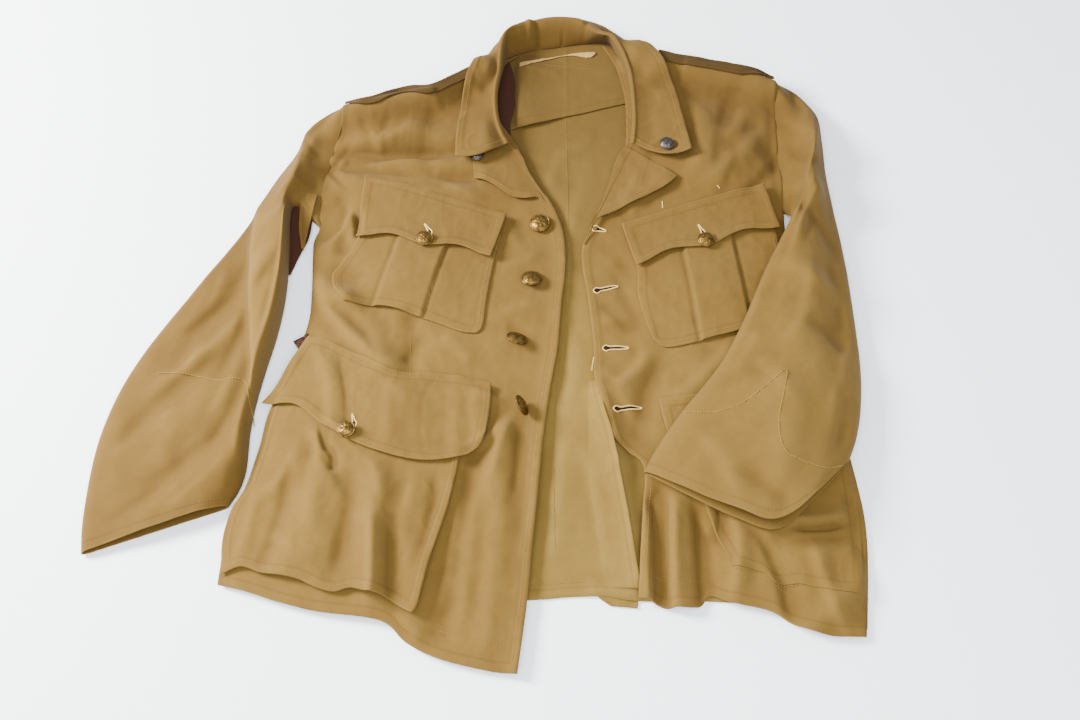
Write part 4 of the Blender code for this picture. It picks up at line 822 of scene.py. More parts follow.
def raised(flat, height, turned=("left", "right", "bottom", "top"), turn=EDGE_TURN, curl=()):
    """A grid of x and y lifted to a height, thicker along its turned sides by a soft step.

    Each row of curl is a side, how high it springs up, and how far in from it that dies out.
    """
    distances = edge_distances(flat)
    near = np.min([distances[side] for side in turned], axis=0) if turned else np.full(flat.shape[:2], 1e3)
    step = turn * turned_in(near)
    for side, spring, reach in curl:
        step = step + spring * np.exp(-(distances[side] / reach) ** 2)
    return np.dstack([flat, height(flat[..., 0], flat[..., 1]) + step]), near


def surface_normal(grid, closed=False):
    """Unit normals from the differences along both axes of a grid."""
    if closed:
        du = np.gradient(grid, axis=0)
        dv = np.roll(grid, -1, axis=1) - np.roll(grid, 1, axis=1)
    else:
        du, dv = np.gradient(grid, axis=0), np.gradient(grid, axis=1)
    normal = np.cross(du, dv)
    return normal / np.maximum(np.linalg.norm(normal, axis=2), 1e-9)[..., None]


def blurred(values, reach, closed=False):
    """Values averaged over a square of neighbours, by running sums along both axes."""
    for axis, mode in ((0, "edge"), (1, "wrap" if closed else "edge")):
        width = [(0, 0), (0, 0)]
        width[axis] = (reach + 1, reach)
        total = np.cumsum(np.pad(values, width, mode=mode), axis=axis)
        size = 2 * reach + 1
        values = (np.take(total, range(size, total.shape[axis]), axis=axis)
                  - np.take(total, range(0, total.shape[axis] - size), axis=axis)) / size
    return values


def fill_mesh(mesh, vertices, quads):
    """Points in millimetres and faces of four put into a mesh."""
    mesh.vertices.add(len(vertices))
    mesh.vertices.foreach_set("co", (vertices * MM).astype(np.float32).ravel())
    mesh.loops.add(quads.size)
    mesh.loops.foreach_set("vertex_index", quads.astype(np.int32).ravel())
    mesh.polygons.add(len(quads))
    mesh.polygons.foreach_set("loop_start", np.arange(0, quads.size, quads.shape[1], dtype=np.int32))
    mesh.update(calc_edges=True)
    mesh.shade_smooth()


def new_piece(name, vertices, quads, material, nodes=()):
    """A piece of the tunic that rides with it, in its finish, in place of its nodes."""
    mesh = bpy.data.meshes.new(name)
    fill_mesh(mesh, vertices, quads)
    mesh.materials.append(material)
    piece = bpy.data.objects.new(name, mesh)
    bpy.context.collection.objects.link(piece)
    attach(piece, "root")
    if nodes:
        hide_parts(*nodes)
    return piece


def grid_quads(shape, closed=False):
    """Faces of four between the points of a grid, and back to its first column where it is closed."""
    index = np.arange(shape[0] * shape[1]).reshape(shape)
    following = np.roll(index, -1, axis=1) if closed else index[:, 1:]
    index = index if closed else index[:, :-1]
    return np.stack([index[:-1], following[:-1], following[1:], index[1:]], axis=-1).reshape(-1, 4)


def rim_loop(shape):
    """Indexes of the points round the outside of a grid, once round."""
    index = np.arange(shape[0] * shape[1]).reshape(shape)
    return np.concatenate([index[0, :-1], index[:-1, -1], index[-1, :0:-1], index[:0:-1, 0]])


def outward(points, faces):
    """Faces wound so that the volume inside them is positive."""
    corner = [points[faces[:, k]] for k in range(faces.shape[1])]
    volume = sum(np.sum(corner[0] * np.cross(b, c)) for b, c in zip(corner[1:], corner[2:]))
    return faces if volume > 0 else faces[:, ::-1]


def plate(top, thick):
    """Points and faces of a solid plate: a grid, the same grid lower down, and a wall between their outsides."""
    size = top.shape[0] * top.shape[1]
    quads, loop = grid_quads(top.shape[:2]), rim_loop(top.shape[:2])
    wall = np.column_stack([np.roll(loop, -1), loop, loop + size, np.roll(loop, -1) + size])
    points = np.vstack([top.reshape(-1, 3), (top - (0, 0, thick)).reshape(-1, 3)])
    return points, outward(points, np.vstack([quads, quads[:, ::-1] + size, wall]))


def point_values(mesh, name, values):
    """A value for each point, under a name that a material reads."""
    layer = mesh.attributes.new(name, "FLOAT", "POINT")
    layer.data.foreach_set("value", values.astype(np.float32).ravel())


def cloth_piece(name, grid, near, material, nodes=(), wall=CLOTH, closed=False, flat_under=None,
                hollow=None):
    """A closed wall of cloth: a grid of points, the same grid a wall lower down its normals, and round rims.

    A closed grid is a tube, whose second axis runs round it.  flat_under gives the lower grid instead.
    """
    count, across = grid.shape[:2]
    normal = surface_normal(grid, closed)
    if closed:
        if np.sum(normal * (grid - grid.mean(axis=1, keepdims=True))) < 0:
            normal = -normal
    elif normal[..., 2].mean() < 0:
        normal = -normal
    under = grid - wall * normal if flat_under is None else flat_under
    quads = grid_quads((count, across), closed)
    size = count * across
    if closed:
        loops = [np.arange(across), np.arange(size - across, size)]
        inner = [grid[1], grid[-2]]
    else:
        loops = [rim_loop((count, across))]
        rows = np.clip(loops[0] // across, 1, count - 2)
        columns = np.clip(loops[0] % across, 1, across - 2)
        inner = [grid[rows, columns]]
    vertices = [grid.reshape(-1, 3), under.reshape(-1, 3)]
    faces = [quads, quads[:, ::-1] + size]
    start = 2 * size
    top_points, low_points = vertices[0], vertices[1]
    for loop, inside_points in zip(loops, inner):
        out = top_points[loop] - inside_points
        out /= np.maximum(np.linalg.norm(out, axis=1), 1e-9)[:, None]
        vertices.append((top_points[loop] + low_points[loop]) / 2 + out * 0.3 * wall)
        middle = start + np.arange(len(loop))
        start += len(loop)
        ahead, ahead_middle = np.roll(loop, -1), np.roll(middle, -1)
        rim = np.vstack([np.column_stack([ahead, loop, middle, ahead_middle]),
                         np.column_stack([ahead_middle, middle, loop + size, ahead + size])])
        wound = {tuple(e) for e in quads[:, [0, 1]].tolist() + quads[:, [1, 2]].tolist()
                 + quads[:, [2, 3]].tolist() + quads[:, [3, 0]].tolist()}
        if (int(loop[1]), int(loop[0])) in wound:
            rim = rim[:, ::-1]
        faces.append(rim)
    vertices, faces = np.vstack(vertices), np.vstack(faces)
    vertices[:, 2] = np.maximum(vertices[:, 2], 0.0)
    faces = outward(vertices, faces)
    piece = new_piece(name, vertices, faces, material, nodes)
    mesh = piece.data
    if closed:
        mesh.set_sharp_from_angle(angle=math.radians(50))
    # hollow: how far each point lies below what is round it; the material turns it into painted shade in hollows and
    # painted highlight on ridges
    hollow = hollows(grid, closed) if hollow is None else hollow
    extra = len(vertices) - 2 * size
    rim_share = np.concatenate(loops)
    point_values(mesh, "hollow", np.concatenate([hollow.ravel(), hollow.ravel(), hollow.ravel()[rim_share]]))
    point_values(mesh, "from_edge", np.concatenate([near.ravel(), near.ravel(), np.zeros(extra)]))
    distances = edge_distances(grid)
    flat = np.stack([distances["left"], distances["bottom"]], axis=-1).reshape(-1, 2) * MM
    places = np.vstack([flat, flat, flat[rim_share]])
    layer = mesh.uv_layers.new(name="cloth")
    layer.data.foreach_set("uv", places[faces.ravel()].astype(np.float32).ravel())
    return piece


def hollows(grid, closed=False):
    """How far each point lies below the mean of what is round it, near by and farther off."""
    height = grid[..., 2]
    return blurred(height, 4, closed) - height + 0.6 * (blurred(height, 9, closed) - height)


def inset_line(grid, side, distance, trim=None):
    """Points of a grid at a distance from one side, straight between its rows, less what crosses other seams."""
    turned = {"left": grid, "right": grid[::-1], "bottom": grid.transpose(1, 0, 2),
              "top": grid.transpose(1, 0, 2)[::-1]}[side]
    steps = np.linalg.norm(np.diff(turned, axis=0), axis=2)
    run = np.concatenate([np.zeros((1, steps.shape[1])), np.cumsum(steps, axis=0)])
    place = np.clip(np.sum(run < distance, axis=0) - 1, 0, len(run) - 2)
    columns = np.arange(run.shape[1])
    share = (distance - run[place, columns]) / (run[place + 1, columns] - run[place, columns])
    line = turned[place, columns] + (turned[place + 1, columns] - turned[place, columns]) * share[:, None]
    return trimmed(line, distance if trim is None else trim)


def trimmed(line, amount):
    """A line less a length at both ends."""
    run = run_along(line)
    return line[(run >= amount) & (run <= run[-1] - amount)]


def laid_line(rows, field):
    """A smooth line of x and y on the height of a field."""
    curve = smooth_curve(rows, 3.0)
    return np.column_stack([curve, field(curve[:, 0], curve[:, 1])])


def stitch_row(name, lines, material, radius=None, pitch=None, length=None):
    """Rows of stitches: on each line, short rods with drawn-in ends at an even pitch, half sunk in the cloth."""
    cloth = bpy.context.scene.tunic_cloth
    radius = radius or round(cloth.stitch_width / MM / 2, 4)
    pitch = pitch or round(cloth.stitch_pitch / MM, 4)
    length = length or round(cloth.stitch_length / MM, 4)
    centres, tangents = [], []
    for line in lines:
        if len(line) < 3:
            continue
        run = run_along(line)
        at = np.arange(pitch, run[-1] - pitch, pitch)
        points = [points_at(line, run, at + shift) for shift in (-length / 2, 0, length / 2)]
        centres.append(points[1])
        tangents.append(points[2] - points[0])
    centre, along = np.vstack(centres), np.vstack(tangents)
    along /= np.linalg.norm(along, axis=1)[:, None]
    side = np.cross(along, [0.0, 0.0, 1.0])
    side /= np.maximum(np.linalg.norm(side, axis=1), 1e-9)[:, None]
    up = np.cross(side, along)
    turns = np.arange(6) * math.pi / 3
    place = np.array([-0.5, -0.3, 0.3, 0.5]) * length
    size = np.array([0.3, 1.0, 1.0, 0.3]) * radius
    sink = np.array([-0.7, 0.35, 0.35, -0.7]) * radius
    ring = (side[:, None, None] * np.cos(turns)[None, None, :, None]
            + up[:, None, None] * np.sin(turns)[None, None, :, None]) * size[None, :, None, None]
    points = (centre[:, None, None] + along[:, None, None] * place[None, :, None, None]
              + up[:, None, None] * sink[None, :, None, None] + ring).reshape(-1, 3)
    quads = grid_quads((4, 6), closed=True)
    caps = np.array([[0, 1, 2, 3], [0, 3, 4, 5], [21, 20, 19, 18], [23, 22, 21, 18]])
    one = np.vstack([quads, caps])
    sample = points[:24]
    a, b, c, d = (sample[quads[:, k]] for k in range(4))
    middle = sample.mean(axis=0)
    if np.sum((np.cross(b - a, d - a)) * ((a + c) / 2 - middle)) < 0:
        one = np.vstack([quads[:, ::-1], caps])
    cap = one[-4]
    facing = np.cross(sample[cap[1]] - sample[cap[0]], sample[cap[2]] - sample[cap[0]])
    if np.dot(facing, sample[cap].mean(axis=0) - middle) < 0:
        one[-4:] = one[-4:, ::-1]
    faces = (one[None] + 24 * np.arange(len(centre))[:, None, None]).reshape(-1, 4)
    return new_piece(name, points, faces, material)


def sock(group, name, kind, way, value=None):
    """A socket of a node group."""
    socket = group.interface.new_socket(name=name, in_out=way, socket_type=kind)
    if value is not None:
        socket.default_value = value
    return socket


def add(tree, kind, **values):
    """A node with its settings."""
    node = tree.nodes.new(kind)
    for key, value in values.items():
        setattr(node, key, value)
    return node


def maths(tree, operation, a, b=None):
    """A sum or product of sockets and plain numbers."""
    node = add(tree, "ShaderNodeMath", operation=operation)
    for socket, value in zip(node.inputs, (a, b)):
        if value is None:
            continue
        if isinstance(value, (int, float)):
            socket.default_value = value
        else:
            tree.links.new(value, socket)
    return node.outputs[0]


MIX_INPUTS = (0, 6, 7)      # sockets of a mix of colours: its share, and its two colours
MIX_RESULT = 2


def mixed(tree, share, a, b):
    """A colour between two by a share, each a socket or a plain colour."""
    node = add(tree, "ShaderNodeMix", data_type="RGBA")
    for index, value in zip(MIX_INPUTS, (share, a, b)):
        if isinstance(value, (int, float)):
            node.inputs[index].default_value = value
        elif isinstance(value, tuple):
            node.inputs[index].default_value = (*value, 1.0) if len(value) == 3 else value
        else:
            tree.links.new(value, node.inputs[index])
    return node.outputs[MIX_RESULT]


def noise(tree, vector, scale, detail=3.0, roughness=0.55):
    """The value of a noise texture."""
    node = add(tree, "ShaderNodeTexNoise")
    node.inputs["Scale"].default_value = scale
    node.inputs["Detail"].default_value = detail
    node.inputs["Roughness"].default_value = roughness
    tree.links.new(vector, node.inputs["Vector"])
    return node.outputs["Fac"]


def spread(tree, value, low, high):
    """A value stretched so that low becomes 0 and high becomes 1."""
    node = add(tree, "ShaderNodeMapRange", clamp=True)
    tree.links.new(value, node.inputs["Value"])
    node.inputs["From Min"].default_value = low
    node.inputs["From Max"].default_value = high
    return node.outputs["Result"]


def bumped(tree, height, strength, distance, under=None):
    """A normal tilted by a height, on top of another one where it is given."""
    node = add(tree, "ShaderNodeBump")
    node.inputs["Strength"].default_value = strength
    node.inputs["Distance"].default_value = distance
    tree.links.new(height, node.inputs["Height"])
    if under is not None:
        tree.links.new(under, node.inputs["Normal"])
    return node.outputs["Normal"]


def blank_material(name):
    """A new material, with its tree, its shader, and the places of the piece's points in its own frame."""
    material = bpy.data.materials.new(name)
    material.use_nodes = True
    tree = material.node_tree
    return material, tree, tree.nodes["Principled BSDF"], add(tree, "ShaderNodeTexCoord").outputs["Object"]


@functools.lru_cache(None)
def twill_group():
    """Twill: slanting ridges of crossing yarns, uneven from yarn to yarn, as a height and a tone."""
    group = bpy.data.node_groups.new("drill twill", "ShaderNodeTree")
    sock(group, "Vector", "NodeSocketVector", "INPUT")
    sock(group, "Pitch scale", "NodeSocketFloat", "INPUT", 350.0)
    sock(group, "Height", "NodeSocketFloat", "OUTPUT")
    sock(group, "Tone", "NodeSocketFloat", "OUTPUT")
    entry, leave = add(group, "NodeGroupInput"), add(group, "NodeGroupOutput")
    slant = add(group, "ShaderNodeTexWave", wave_type="BANDS", bands_direction="DIAGONAL")
    group.links.new(entry.outputs["Vector"], slant.inputs["Vector"])
    group.links.new(entry.outputs["Pitch scale"], slant.inputs["Scale"])
    slant.inputs["Distortion"].default_value = 0.6
    slant.inputs["Detail"].default_value = 1.0
    yarn = noise(group, entry.outputs["Vector"], 900.0, 1.0)
    both = maths(group, "ADD", maths(group, "MULTIPLY", slant.outputs["Fac"], 0.7),
                 maths(group, "MULTIPLY", yarn, 0.3))
    group.links.new(both, leave.inputs["Height"])
    group.links.new(both, leave.inputs["Tone"])
    return group


@functools.lru_cache(None)
def wear_and_painted_light_group():
    """Wear and painted light: clouds of paler and darker cloth, turned edges paler from wear, painted shade in
    hollows and towards the shoulders, painted highlight on ridges.
    """
    group = bpy.data.node_groups.new("cloth wear and painted light", "ShaderNodeTree")
    for name, kind, value in (("Vector", "NodeSocketVector", None), ("Middle", "NodeSocketColor", None),
                              ("Light", "NodeSocketColor", None), ("Dark", "NodeSocketColor", None),
                              ("Hollow", "NodeSocketFloat", 0.0), ("From edge", "NodeSocketFloat", 50.0),
                              ("Tone", "NodeSocketFloat", 0.5), ("Top painted shade", "NodeSocketFloat", 0.42)):
        sock(group, name, kind, "INPUT", value)
    sock(group, "Colour", "NodeSocketColor", "OUTPUT")
    sock(group, "Roughness", "NodeSocketFloat", "OUTPUT")
    entry, leave = add(group, "NodeGroupInput"), add(group, "NodeGroupOutput")
    place = entry.outputs["Vector"]
    clouds = spread(group, noise(group, place, 11.0, 5.0, 0.6), 0.32, 0.70)
    flecks = spread(group, noise(group, place, 120.0, 3.0, 0.7), 0.30, 0.75)
    edge, hollow = entry.outputs["From edge"], entry.outputs["Hollow"]
    ragged = maths(group, "ADD", edge, maths(group, "MULTIPLY", noise(group, place, 160.0), 2.4))
    from_seam = maths(group, "ABSOLUTE", maths(group, "SUBTRACT", edge, TURN_REACH))
    apart = add(group, "ShaderNodeSeparateXYZ")
    group.links.new(place, apart.inputs["Vector"])
    # painted shade: the cloth is darkened towards the shoulders, higher y, by the share given to the group
    high = maths(group, "ADD", apart.outputs["Y"], maths(group, "MULTIPLY", noise(group, place, 7.0), 0.12))
    colour = entry.outputs["Middle"]
    for mask, share, towards in (
            (clouds, 0.30, "Light"),
            (flecks, 0.14, "Dark"),
            # painted shade: points below what is round them are darkened towards the Dark colour
            (spread(group, hollow, 0.3, 3.4), 0.34, "Dark"),
            # painted highlight: points above what is round them, the ridges, are paled towards the Light colour
            (spread(group, hollow, -0.3, -3.0), 0.22, "Light"),
            (spread(group, ragged, 3.0, 0.9), 0.35, "Light"),
            (spread(group, from_seam, 2.2, 0.2), 0.22, "Dark"),
            (entry.outputs["Tone"], 0.12, "Dark"),
            (spread(group, high, 0.06, 0.36), entry.outputs["Top painted shade"], "Dark")):
        colour = mixed(group, maths(group, "MULTIPLY", mask, share), colour, entry.outputs[towards])
    group.links.new(colour, leave.inputs["Colour"])
    group.links.new(maths(group, "ADD", maths(group, "MULTIPLY", clouds, 0.08), 0.82), leave.inputs["Roughness"])
    return group


@functools.lru_cache(None)
def cloth_material(name, middle, light, dark, top_painted_shade=0.42):
    """Cotton drill: twill relief under worn colour with painted shade and highlight, with a faint sheen of raised
    fibres.
    """
    material, tree, shader, place = blank_material(name)
    uv = add(tree, "ShaderNodeUVMap", uv_map="cloth").outputs["UV"]
    twill = add(tree, "ShaderNodeGroup", node_tree=twill_group())
    tree.links.new(uv, twill.inputs["Vector"])
    wear_and_painted_light = add(tree, "ShaderNodeGroup", node_tree=wear_and_painted_light_group())
    tree.links.new(place, wear_and_painted_light.inputs["Vector"])
    for key, colour in (("Middle", middle), ("Light", light), ("Dark", dark)):
        wear_and_painted_light.inputs[key].default_value = (*colour, 1.0)
    wear_and_painted_light.inputs["Top painted shade"].default_value = top_painted_shade
    for key, attribute in (("Hollow", "hollow"), ("From edge", "from_edge")):
        reader = add(tree, "ShaderNodeAttribute", attribute_name=attribute)
        tree.links.new(reader.outputs["Fac"], wear_and_painted_light.inputs[key])
    tree.links.new(twill.outputs["Tone"], wear_and_painted_light.inputs["Tone"])
    tree.links.new(wear_and_painted_light.outputs["Colour"], shader.inputs["Base Color"])
    tree.links.new(wear_and_painted_light.outputs["Roughness"], shader.inputs["Roughness"])
    soft = bumped(tree, noise(tree, place, 60.0, 4.0, 0.6), 0.30, 0.0012)
    tree.links.new(bumped(tree, twill.outputs["Height"], 0.35, 0.00012, soft), shader.inputs["Normal"])
    shader.inputs["Specular IOR Level"].default_value = 0.10
    shader.inputs["Sheen Weight"].default_value = 0.03
    shader.inputs["Sheen Roughness"].default_value = 0.5
    return material


@functools.lru_cache(None)
def metal_material(name, bright, dull, roughness):
    """Old metal: dull film in clouds, brighter where it is rubbed, with fine pits."""
    material, tree, shader, place = blank_material(name)
    film = spread(tree, noise(tree, place, 260.0, 4.0, 0.6), 0.35, 0.65)
    tree.links.new(mixed(tree, film, bright, dull), shader.inputs["Base Color"])
    tree.links.new(maths(tree, "ADD", maths(tree, "MULTIPLY", film, 0.22), roughness), shader.inputs["Roughness"])
    shader.inputs["Metallic"].default_value = 1.0
    tree.links.new(bumped(tree, noise(tree, place, 1400.0, 2.0), 0.25, 0.0001), shader.inputs["Normal"])
    return material


@functools.lru_cache(None)
def thread_material(name, pale, deep):
    """Sewing thread: a twisted look from fine slanting noise, a little soiled."""
    material, tree, shader, place = blank_material(name)
    soil = spread(tree, noise(tree, place, 90.0, 4.0), 0.35, 0.7)
    shader.inputs["Specular IOR Level"].default_value = 0.12
    tree.links.new(mixed(tree, soil, pale, deep), shader.inputs["Base Color"])
    tree.links.new(maths(tree, "ADD", maths(tree, "MULTIPLY", soil, 0.1), 0.75), shader.inputs["Roughness"])
    tree.links.new(bumped(tree, noise(tree, place, 2500.0, 1.0), 0.3, 0.0001), shader.inputs["Normal"])
    return material


INSIDE_FADE = (1.26, 1.36, 1.44)    # how much paler and greyer the inside of the cloth is, in each primary


def finishes():
    """The materials, from the colours that the panel shows."""
    cloth = bpy.context.scene.tunic_cloth
    middle, light, dark = tuple(cloth.khaki), tuple(cloth.khaki_light), tuple(cloth.khaki_dark)
    metal = bpy.context.scene.tunic_metal
    brass, bronze = tuple(metal.brass), tuple(metal.bronze)

    def shade(colour, share):
        return tuple(round(c * share, 5) for c in colour)

    def paler(colour, share=1.0):
        return tuple(round(c * share * s, 5) for c, s in zip(colour, INSIDE_FADE))

    return {
        "outer": cloth_material("khaki drill", middle, light, dark),
        # painted shade: the inside gets a stronger darkening towards the shoulders (0.66) and a darker deep colour
        "inner": cloth_material("khaki drill inside", paler(middle), paler(light), paler(dark, 0.8), 0.66),
        # painted shade: the straps get a darkened copy of the khaki for the shade on their side of the shoulder ridge
        "strap": cloth_material("khaki drill darkened for painted shade", shade(middle, 0.42), shade(light, 0.52),
                                shade(dark, 0.5)),
        "tape": cloth_material("cream tape", tuple(cloth.cream), (0.45, 0.29, 0.11), (0.23, 0.13, 0.04)),
        "thread": thread_material("khaki thread", shade(light, 1.12), shade(middle, 1.0)),
        "cream": thread_material("cream thread", (0.60, 0.42, 0.15), (0.42, 0.27, 0.09)),
        # painted shade: the dark plate in each buttonhole's cut
        "dark": thread_material("slit in painted shade", (0.012, 0.005, 0.002), (0.007, 0.003, 0.001)),
        "brass": metal_material("worn brass", brass, shade(brass, 0.26), 0.39),
        "shade": cloth_material("drill in deep shade", (0.042, 0.014, 0.007), (0.06, 0.021, 0.010),
                                (0.022, 0.008, 0.004)),
        "seam": thread_material("pale seam thread", shade(light, 1.45), shade(light, 1.05)),
        "rust": metal_material("rusted hook", (0.085, 0.045, 0.028), (0.022, 0.010, 0.006), 0.55),
        "bronze": metal_material("dark bronze", bronze, shade(bronze, 0.35), 0.34),
    }


# Neck edge of the right front, which runs under the collar's roll
NECK_UNDER = [(-25, 413), (-40, 398), (-48, 372), (-51, 342), (-49, 312), (-34, 282)]


@functools.lru_cache(None)
def front_grid(side):
    """Grid of a front: edges are its hem, its shoulder, its side with the armhole, and its opening with the neck."""
    if side == "right":
        flat = patch(HEM_RIGHT, SHOULDER_RIGHT, SIDE_RIGHT[::-1] + ARMHOLE_RIGHT[::-1][1:],
                     OPENING_RIGHT + NECK_UNDER[::-1][1:], PATCH_STEP)
        return raised(flat, front_top, ("right", "bottom"), curl=(("right", 2.6, 11.0),))
    flat = patch(HEM_LEFT, SHOULDER_LEFT[::-1], OPENING_LEFT + NECK_LEFT[::-1][1:],
                 SIDE_LEFT[::-1] + ARMHOLE_LEFT[::-1][1:], PATCH_STEP)
    return raised(flat, front_top, ("left", "bottom"))


@functools.lru_cache(None)
def back_grid():
    """Grid of the whole back: edges are its hem, its shoulders with the neck, and its sides with the armholes."""
    side_right = [HEM_BACK[0]] + SIDE_RIGHT[:-1][::-1] + ARMHOLE_RIGHT[::-1][1:]
    side_left = [HEM_BACK[-1]] + SIDE_LEFT[1:-1][::-1] + SIDE_LEFT[:1] + ARMHOLE_LEFT[::-1][1:]
    top = SHOULDER_RIGHT + NECK_BACK[1:-1] + SHOULDER_LEFT[::-1]
    flat = patch(HEM_BACK, top, side_right, side_left, BACK_STEP)
    return raised(flat, back_top, ("bottom",))


def flap_edges(corners, rise=8.0):
    """Edges of a breast flap: straight but for the lower one, a wave with two hollows and a point between them."""
    top_start, top_end, low_end, low_start = [np.asarray(c, float) for c in corners]
    s = np.linspace(0, 1, 65)[:, None]
    up = (top_start + top_end - low_start - low_end) / 2
    up /= np.linalg.norm(up)
    low = low_start + (low_end - low_start) * s + rise * 0.5 * (1 - np.cos(4 * math.pi * s)) * up
    t = np.linspace(0, 1, 9)[:, None]
    return (low, top_start + (top_end - top_start) * t, low_start + (top_start - low_start) * t,
            low_end + (top_end - low_end) * t)


PLEATS = {"right": PLEAT_RIGHT, "left": PLEAT_LEFT}
SMALL = {
    "breast_pocket_right": (BREAST_BAG_RIGHT, (0, 5, 11, 15)),
    "breast_pocket_left": (BREAST_BAG_LEFT, (0, 4, 10, 13)),
    "skirt_pocket_right": (SKIRT_BAG_RIGHT, (0, 4, 11, 22)),
    "skirt_pocket_left": (SKIRT_BAG_LEFT, (0, 2, 6, 11)),
    "skirt_flap_right": (SKIRT_FLAP_RIGHT, (0, 8, 12, 24)),
    "skirt_flap_left": (SKIRT_FLAP_LEFT, (0, 4, 7, 11)),
    "lapel_right": (LAPEL_RIGHT, (12, 0, 5, 11)),
    "lapel_left": (LAPEL_LEFT, (0, 5, 10, 11)),
}


SMALL_NAMES = list(SMALL) + ["breast_flap_right", "breast_flap_left"]


def pleat_height(x, y, row):
    """A box pleat: one more layer between two lines, with soft steps and a groove outside each."""
    x0, y0, x1, y1, width = row
    length = math.hypot(x1 - x0, y1 - y0)
    across = np.abs((y - y0) * (x1 - x0) / length - (x - x0) * (y1 - y0) / length) - width / 2
    return CLOTH * (0.5 - 0.5 * np.tanh(across / 0.8)) * 1.6 - 0.9 * np.exp(-((across - 2.6) / 2.2) ** 2)


@functools.lru_cache(None)
def small_grid(name):
    """Grid of a pocket, flap or lapel on the layers that carry it."""
    if name.startswith("breast_flap"):
        corners = BREAST_FLAP_RIGHT if name.endswith("right") else BREAST_FLAP_LEFT
        flat = patch(*flap_edges(corners), SMALL_STEP, smooth=False)
        return raised(flat, lambda x, y: flap_base(x, y) + CLOTH,
                      curl=(("bottom", 2.0, 11.0), ("right", 2.2, 11.0)))
    outline, corners = SMALL[name]
    flat = outline_patch(outline, corners, SMALL_STEP)
    if name.startswith("breast_pocket"):
        row = PLEATS[name.rsplit("_", 1)[1]]
        return raised(flat, lambda x, y: bag_base(x, y) + CLOTH + pleat_height(x, y, row),
                      ("left", "right", "bottom"))
    if name == "skirt_pocket_left":
        return raised(flat, lambda x, y: bag_base(x, y) + 0.7, ("left", "right", "bottom"), turn=0.2)
    if name == "skirt_pocket_right":
        return raised(flat, lambda x, y: bag_base(x, y) + CLOTH, ("left", "right", "bottom"),
                      curl=(("right", 2.4, 9.0), ("bottom", 1.4, 9.0)))
    if name.startswith("skirt_flap"):
        return raised(flat, lambda x, y: plain_flap_base(x, y) + CLOTH,
                      curl=(("bottom", 2.2, 14.0), ("right", 1.6, 12.0)))
    turned = ("right", "bottom", "top") if name.endswith("right") else ("left", "bottom", "right")
    return raised(flat, lapel_top, turned)


def lapel_top(x, y):
    """A lapel lies on its front along its roll, and its lower edge and its point spring up."""
    spring = (swell(x, y, (-34, 230, 34, 26, 3.2)) + crease(x, y, (62, 168, 138, 214, 17, 4.2))
              + swell(x, y, (142, 222, 20, 18, 3.0)) + crease(x, y, (-10, 202, -66, 226, 12, 2.6)))
    return front_top(x, y) + GAP + CLOTH + spring


CUFF_SEAM_LEFT = [(141, -75), (162, -79), (181, -78), (200, -71), (221, -56), (234, -45), (245, -38), (240, -62),
                  (233, -90), (232, -113), (236, -127), (244, -133), (259, -138), (275, -141), (295, -134)]
CUFF_SEAM_RIGHT = [(-391, -24), (-354, -28), (-328, -35), (-299, -36), (-292, -58), (-286, -83)]

# Where the ridge of the right sleeve lies across it: rings, and shares of the width from the outer edge
RIDGE_RIGHT = ([0, 3, 5, 13, 16], [0.3, 0.6, 0.95, 0.96, 0.75])

# Sleeves: rings, broad folds, finer folds, their share, seed, armhole, how far off it, cuff seam
SLEEVES = {
    "right": (SLEEVE_RIGHT, SLEEVE_FOLDS_RIGHT, FINE_SLEEVE_RIGHT, 0.62, 31, ARMHOLE_RIGHT, 1.0, CUFF_SEAM_RIGHT),
    "left": (SLEEVE_LEFT, SLEEVE_FOLDS_LEFT, FINE_SLEEVE_LEFT, 0.9, 41, ARMHOLE_LEFT, -1.0, CUFF_SEAM_LEFT),
}


def on_table(x, y):
    """The table's height."""
    return 0.0 * x


@functools.lru_cache(None)
def sleeve_grid(side):
    """Rings of a whole sleeve with its cuff, made fine, with its folds and the turned step at the cuff's seam."""
    table, coarse, fine, depth, seed, armhole, shift, seam = SLEEVES[side]
    rows = resample_rows(table, SLEEVE_RINGS)
    if side == "right":
        rows[:, 7] = np.interp(np.arange(SLEEVE_RINGS), *RIDGE_RIGHT)
    rings = tube_rings(rows, on_table if side == "right" else support_left, 3.0, coarse, armhole, shift)
    rings = denser(denser(rings, 1, TUBE_AROUND, closed=True), 0, TUBE_ALONG)
    place, ring = np.arange(rings.shape[1]), np.arange(len(rings))[:, None]
    arch = np.sin(np.clip(place / TUBE_UPPER, 0, 1) * math.pi)
    weight = np.where(place <= TUBE_UPPER, arch, 0.0)[None] ** 0.6
    settle = np.clip(ring / 12.0, 0, 1)
    x, y = rings[..., 0], rings[..., 1]
    height = (folds(x, y, fine) * depth + worn_cloth(x, y, seed)) * weight * settle
    if side == "right":
        height = height + sleeve_edge(x, y) * (np.clip(arch * 3.0, 0, 1)[None] * settle)
    rings[..., 2] += np.maximum(height, DEEPEST)
    rings[..., 2] += welt(x, y, seam, 2.6, 0.8) * weight
    rings[..., 2] -= 0.5 * np.exp(-(ring / 2.0) ** 2) * (weight > 0)
    return rings


def ring_top(rings, x, y):
    """Height of a tube's upper side at places given by x and y: that of the nearest point of its grid."""
    upper = rings[:, :TUBE_UPPER].reshape(-1, 3)
    away = np.hypot(upper[:, 0] - np.ravel(x)[:, None], upper[:, 1] - np.ravel(y)[:, None])
    return upper[np.argmin(away, axis=1), 2].reshape(np.shape(x))


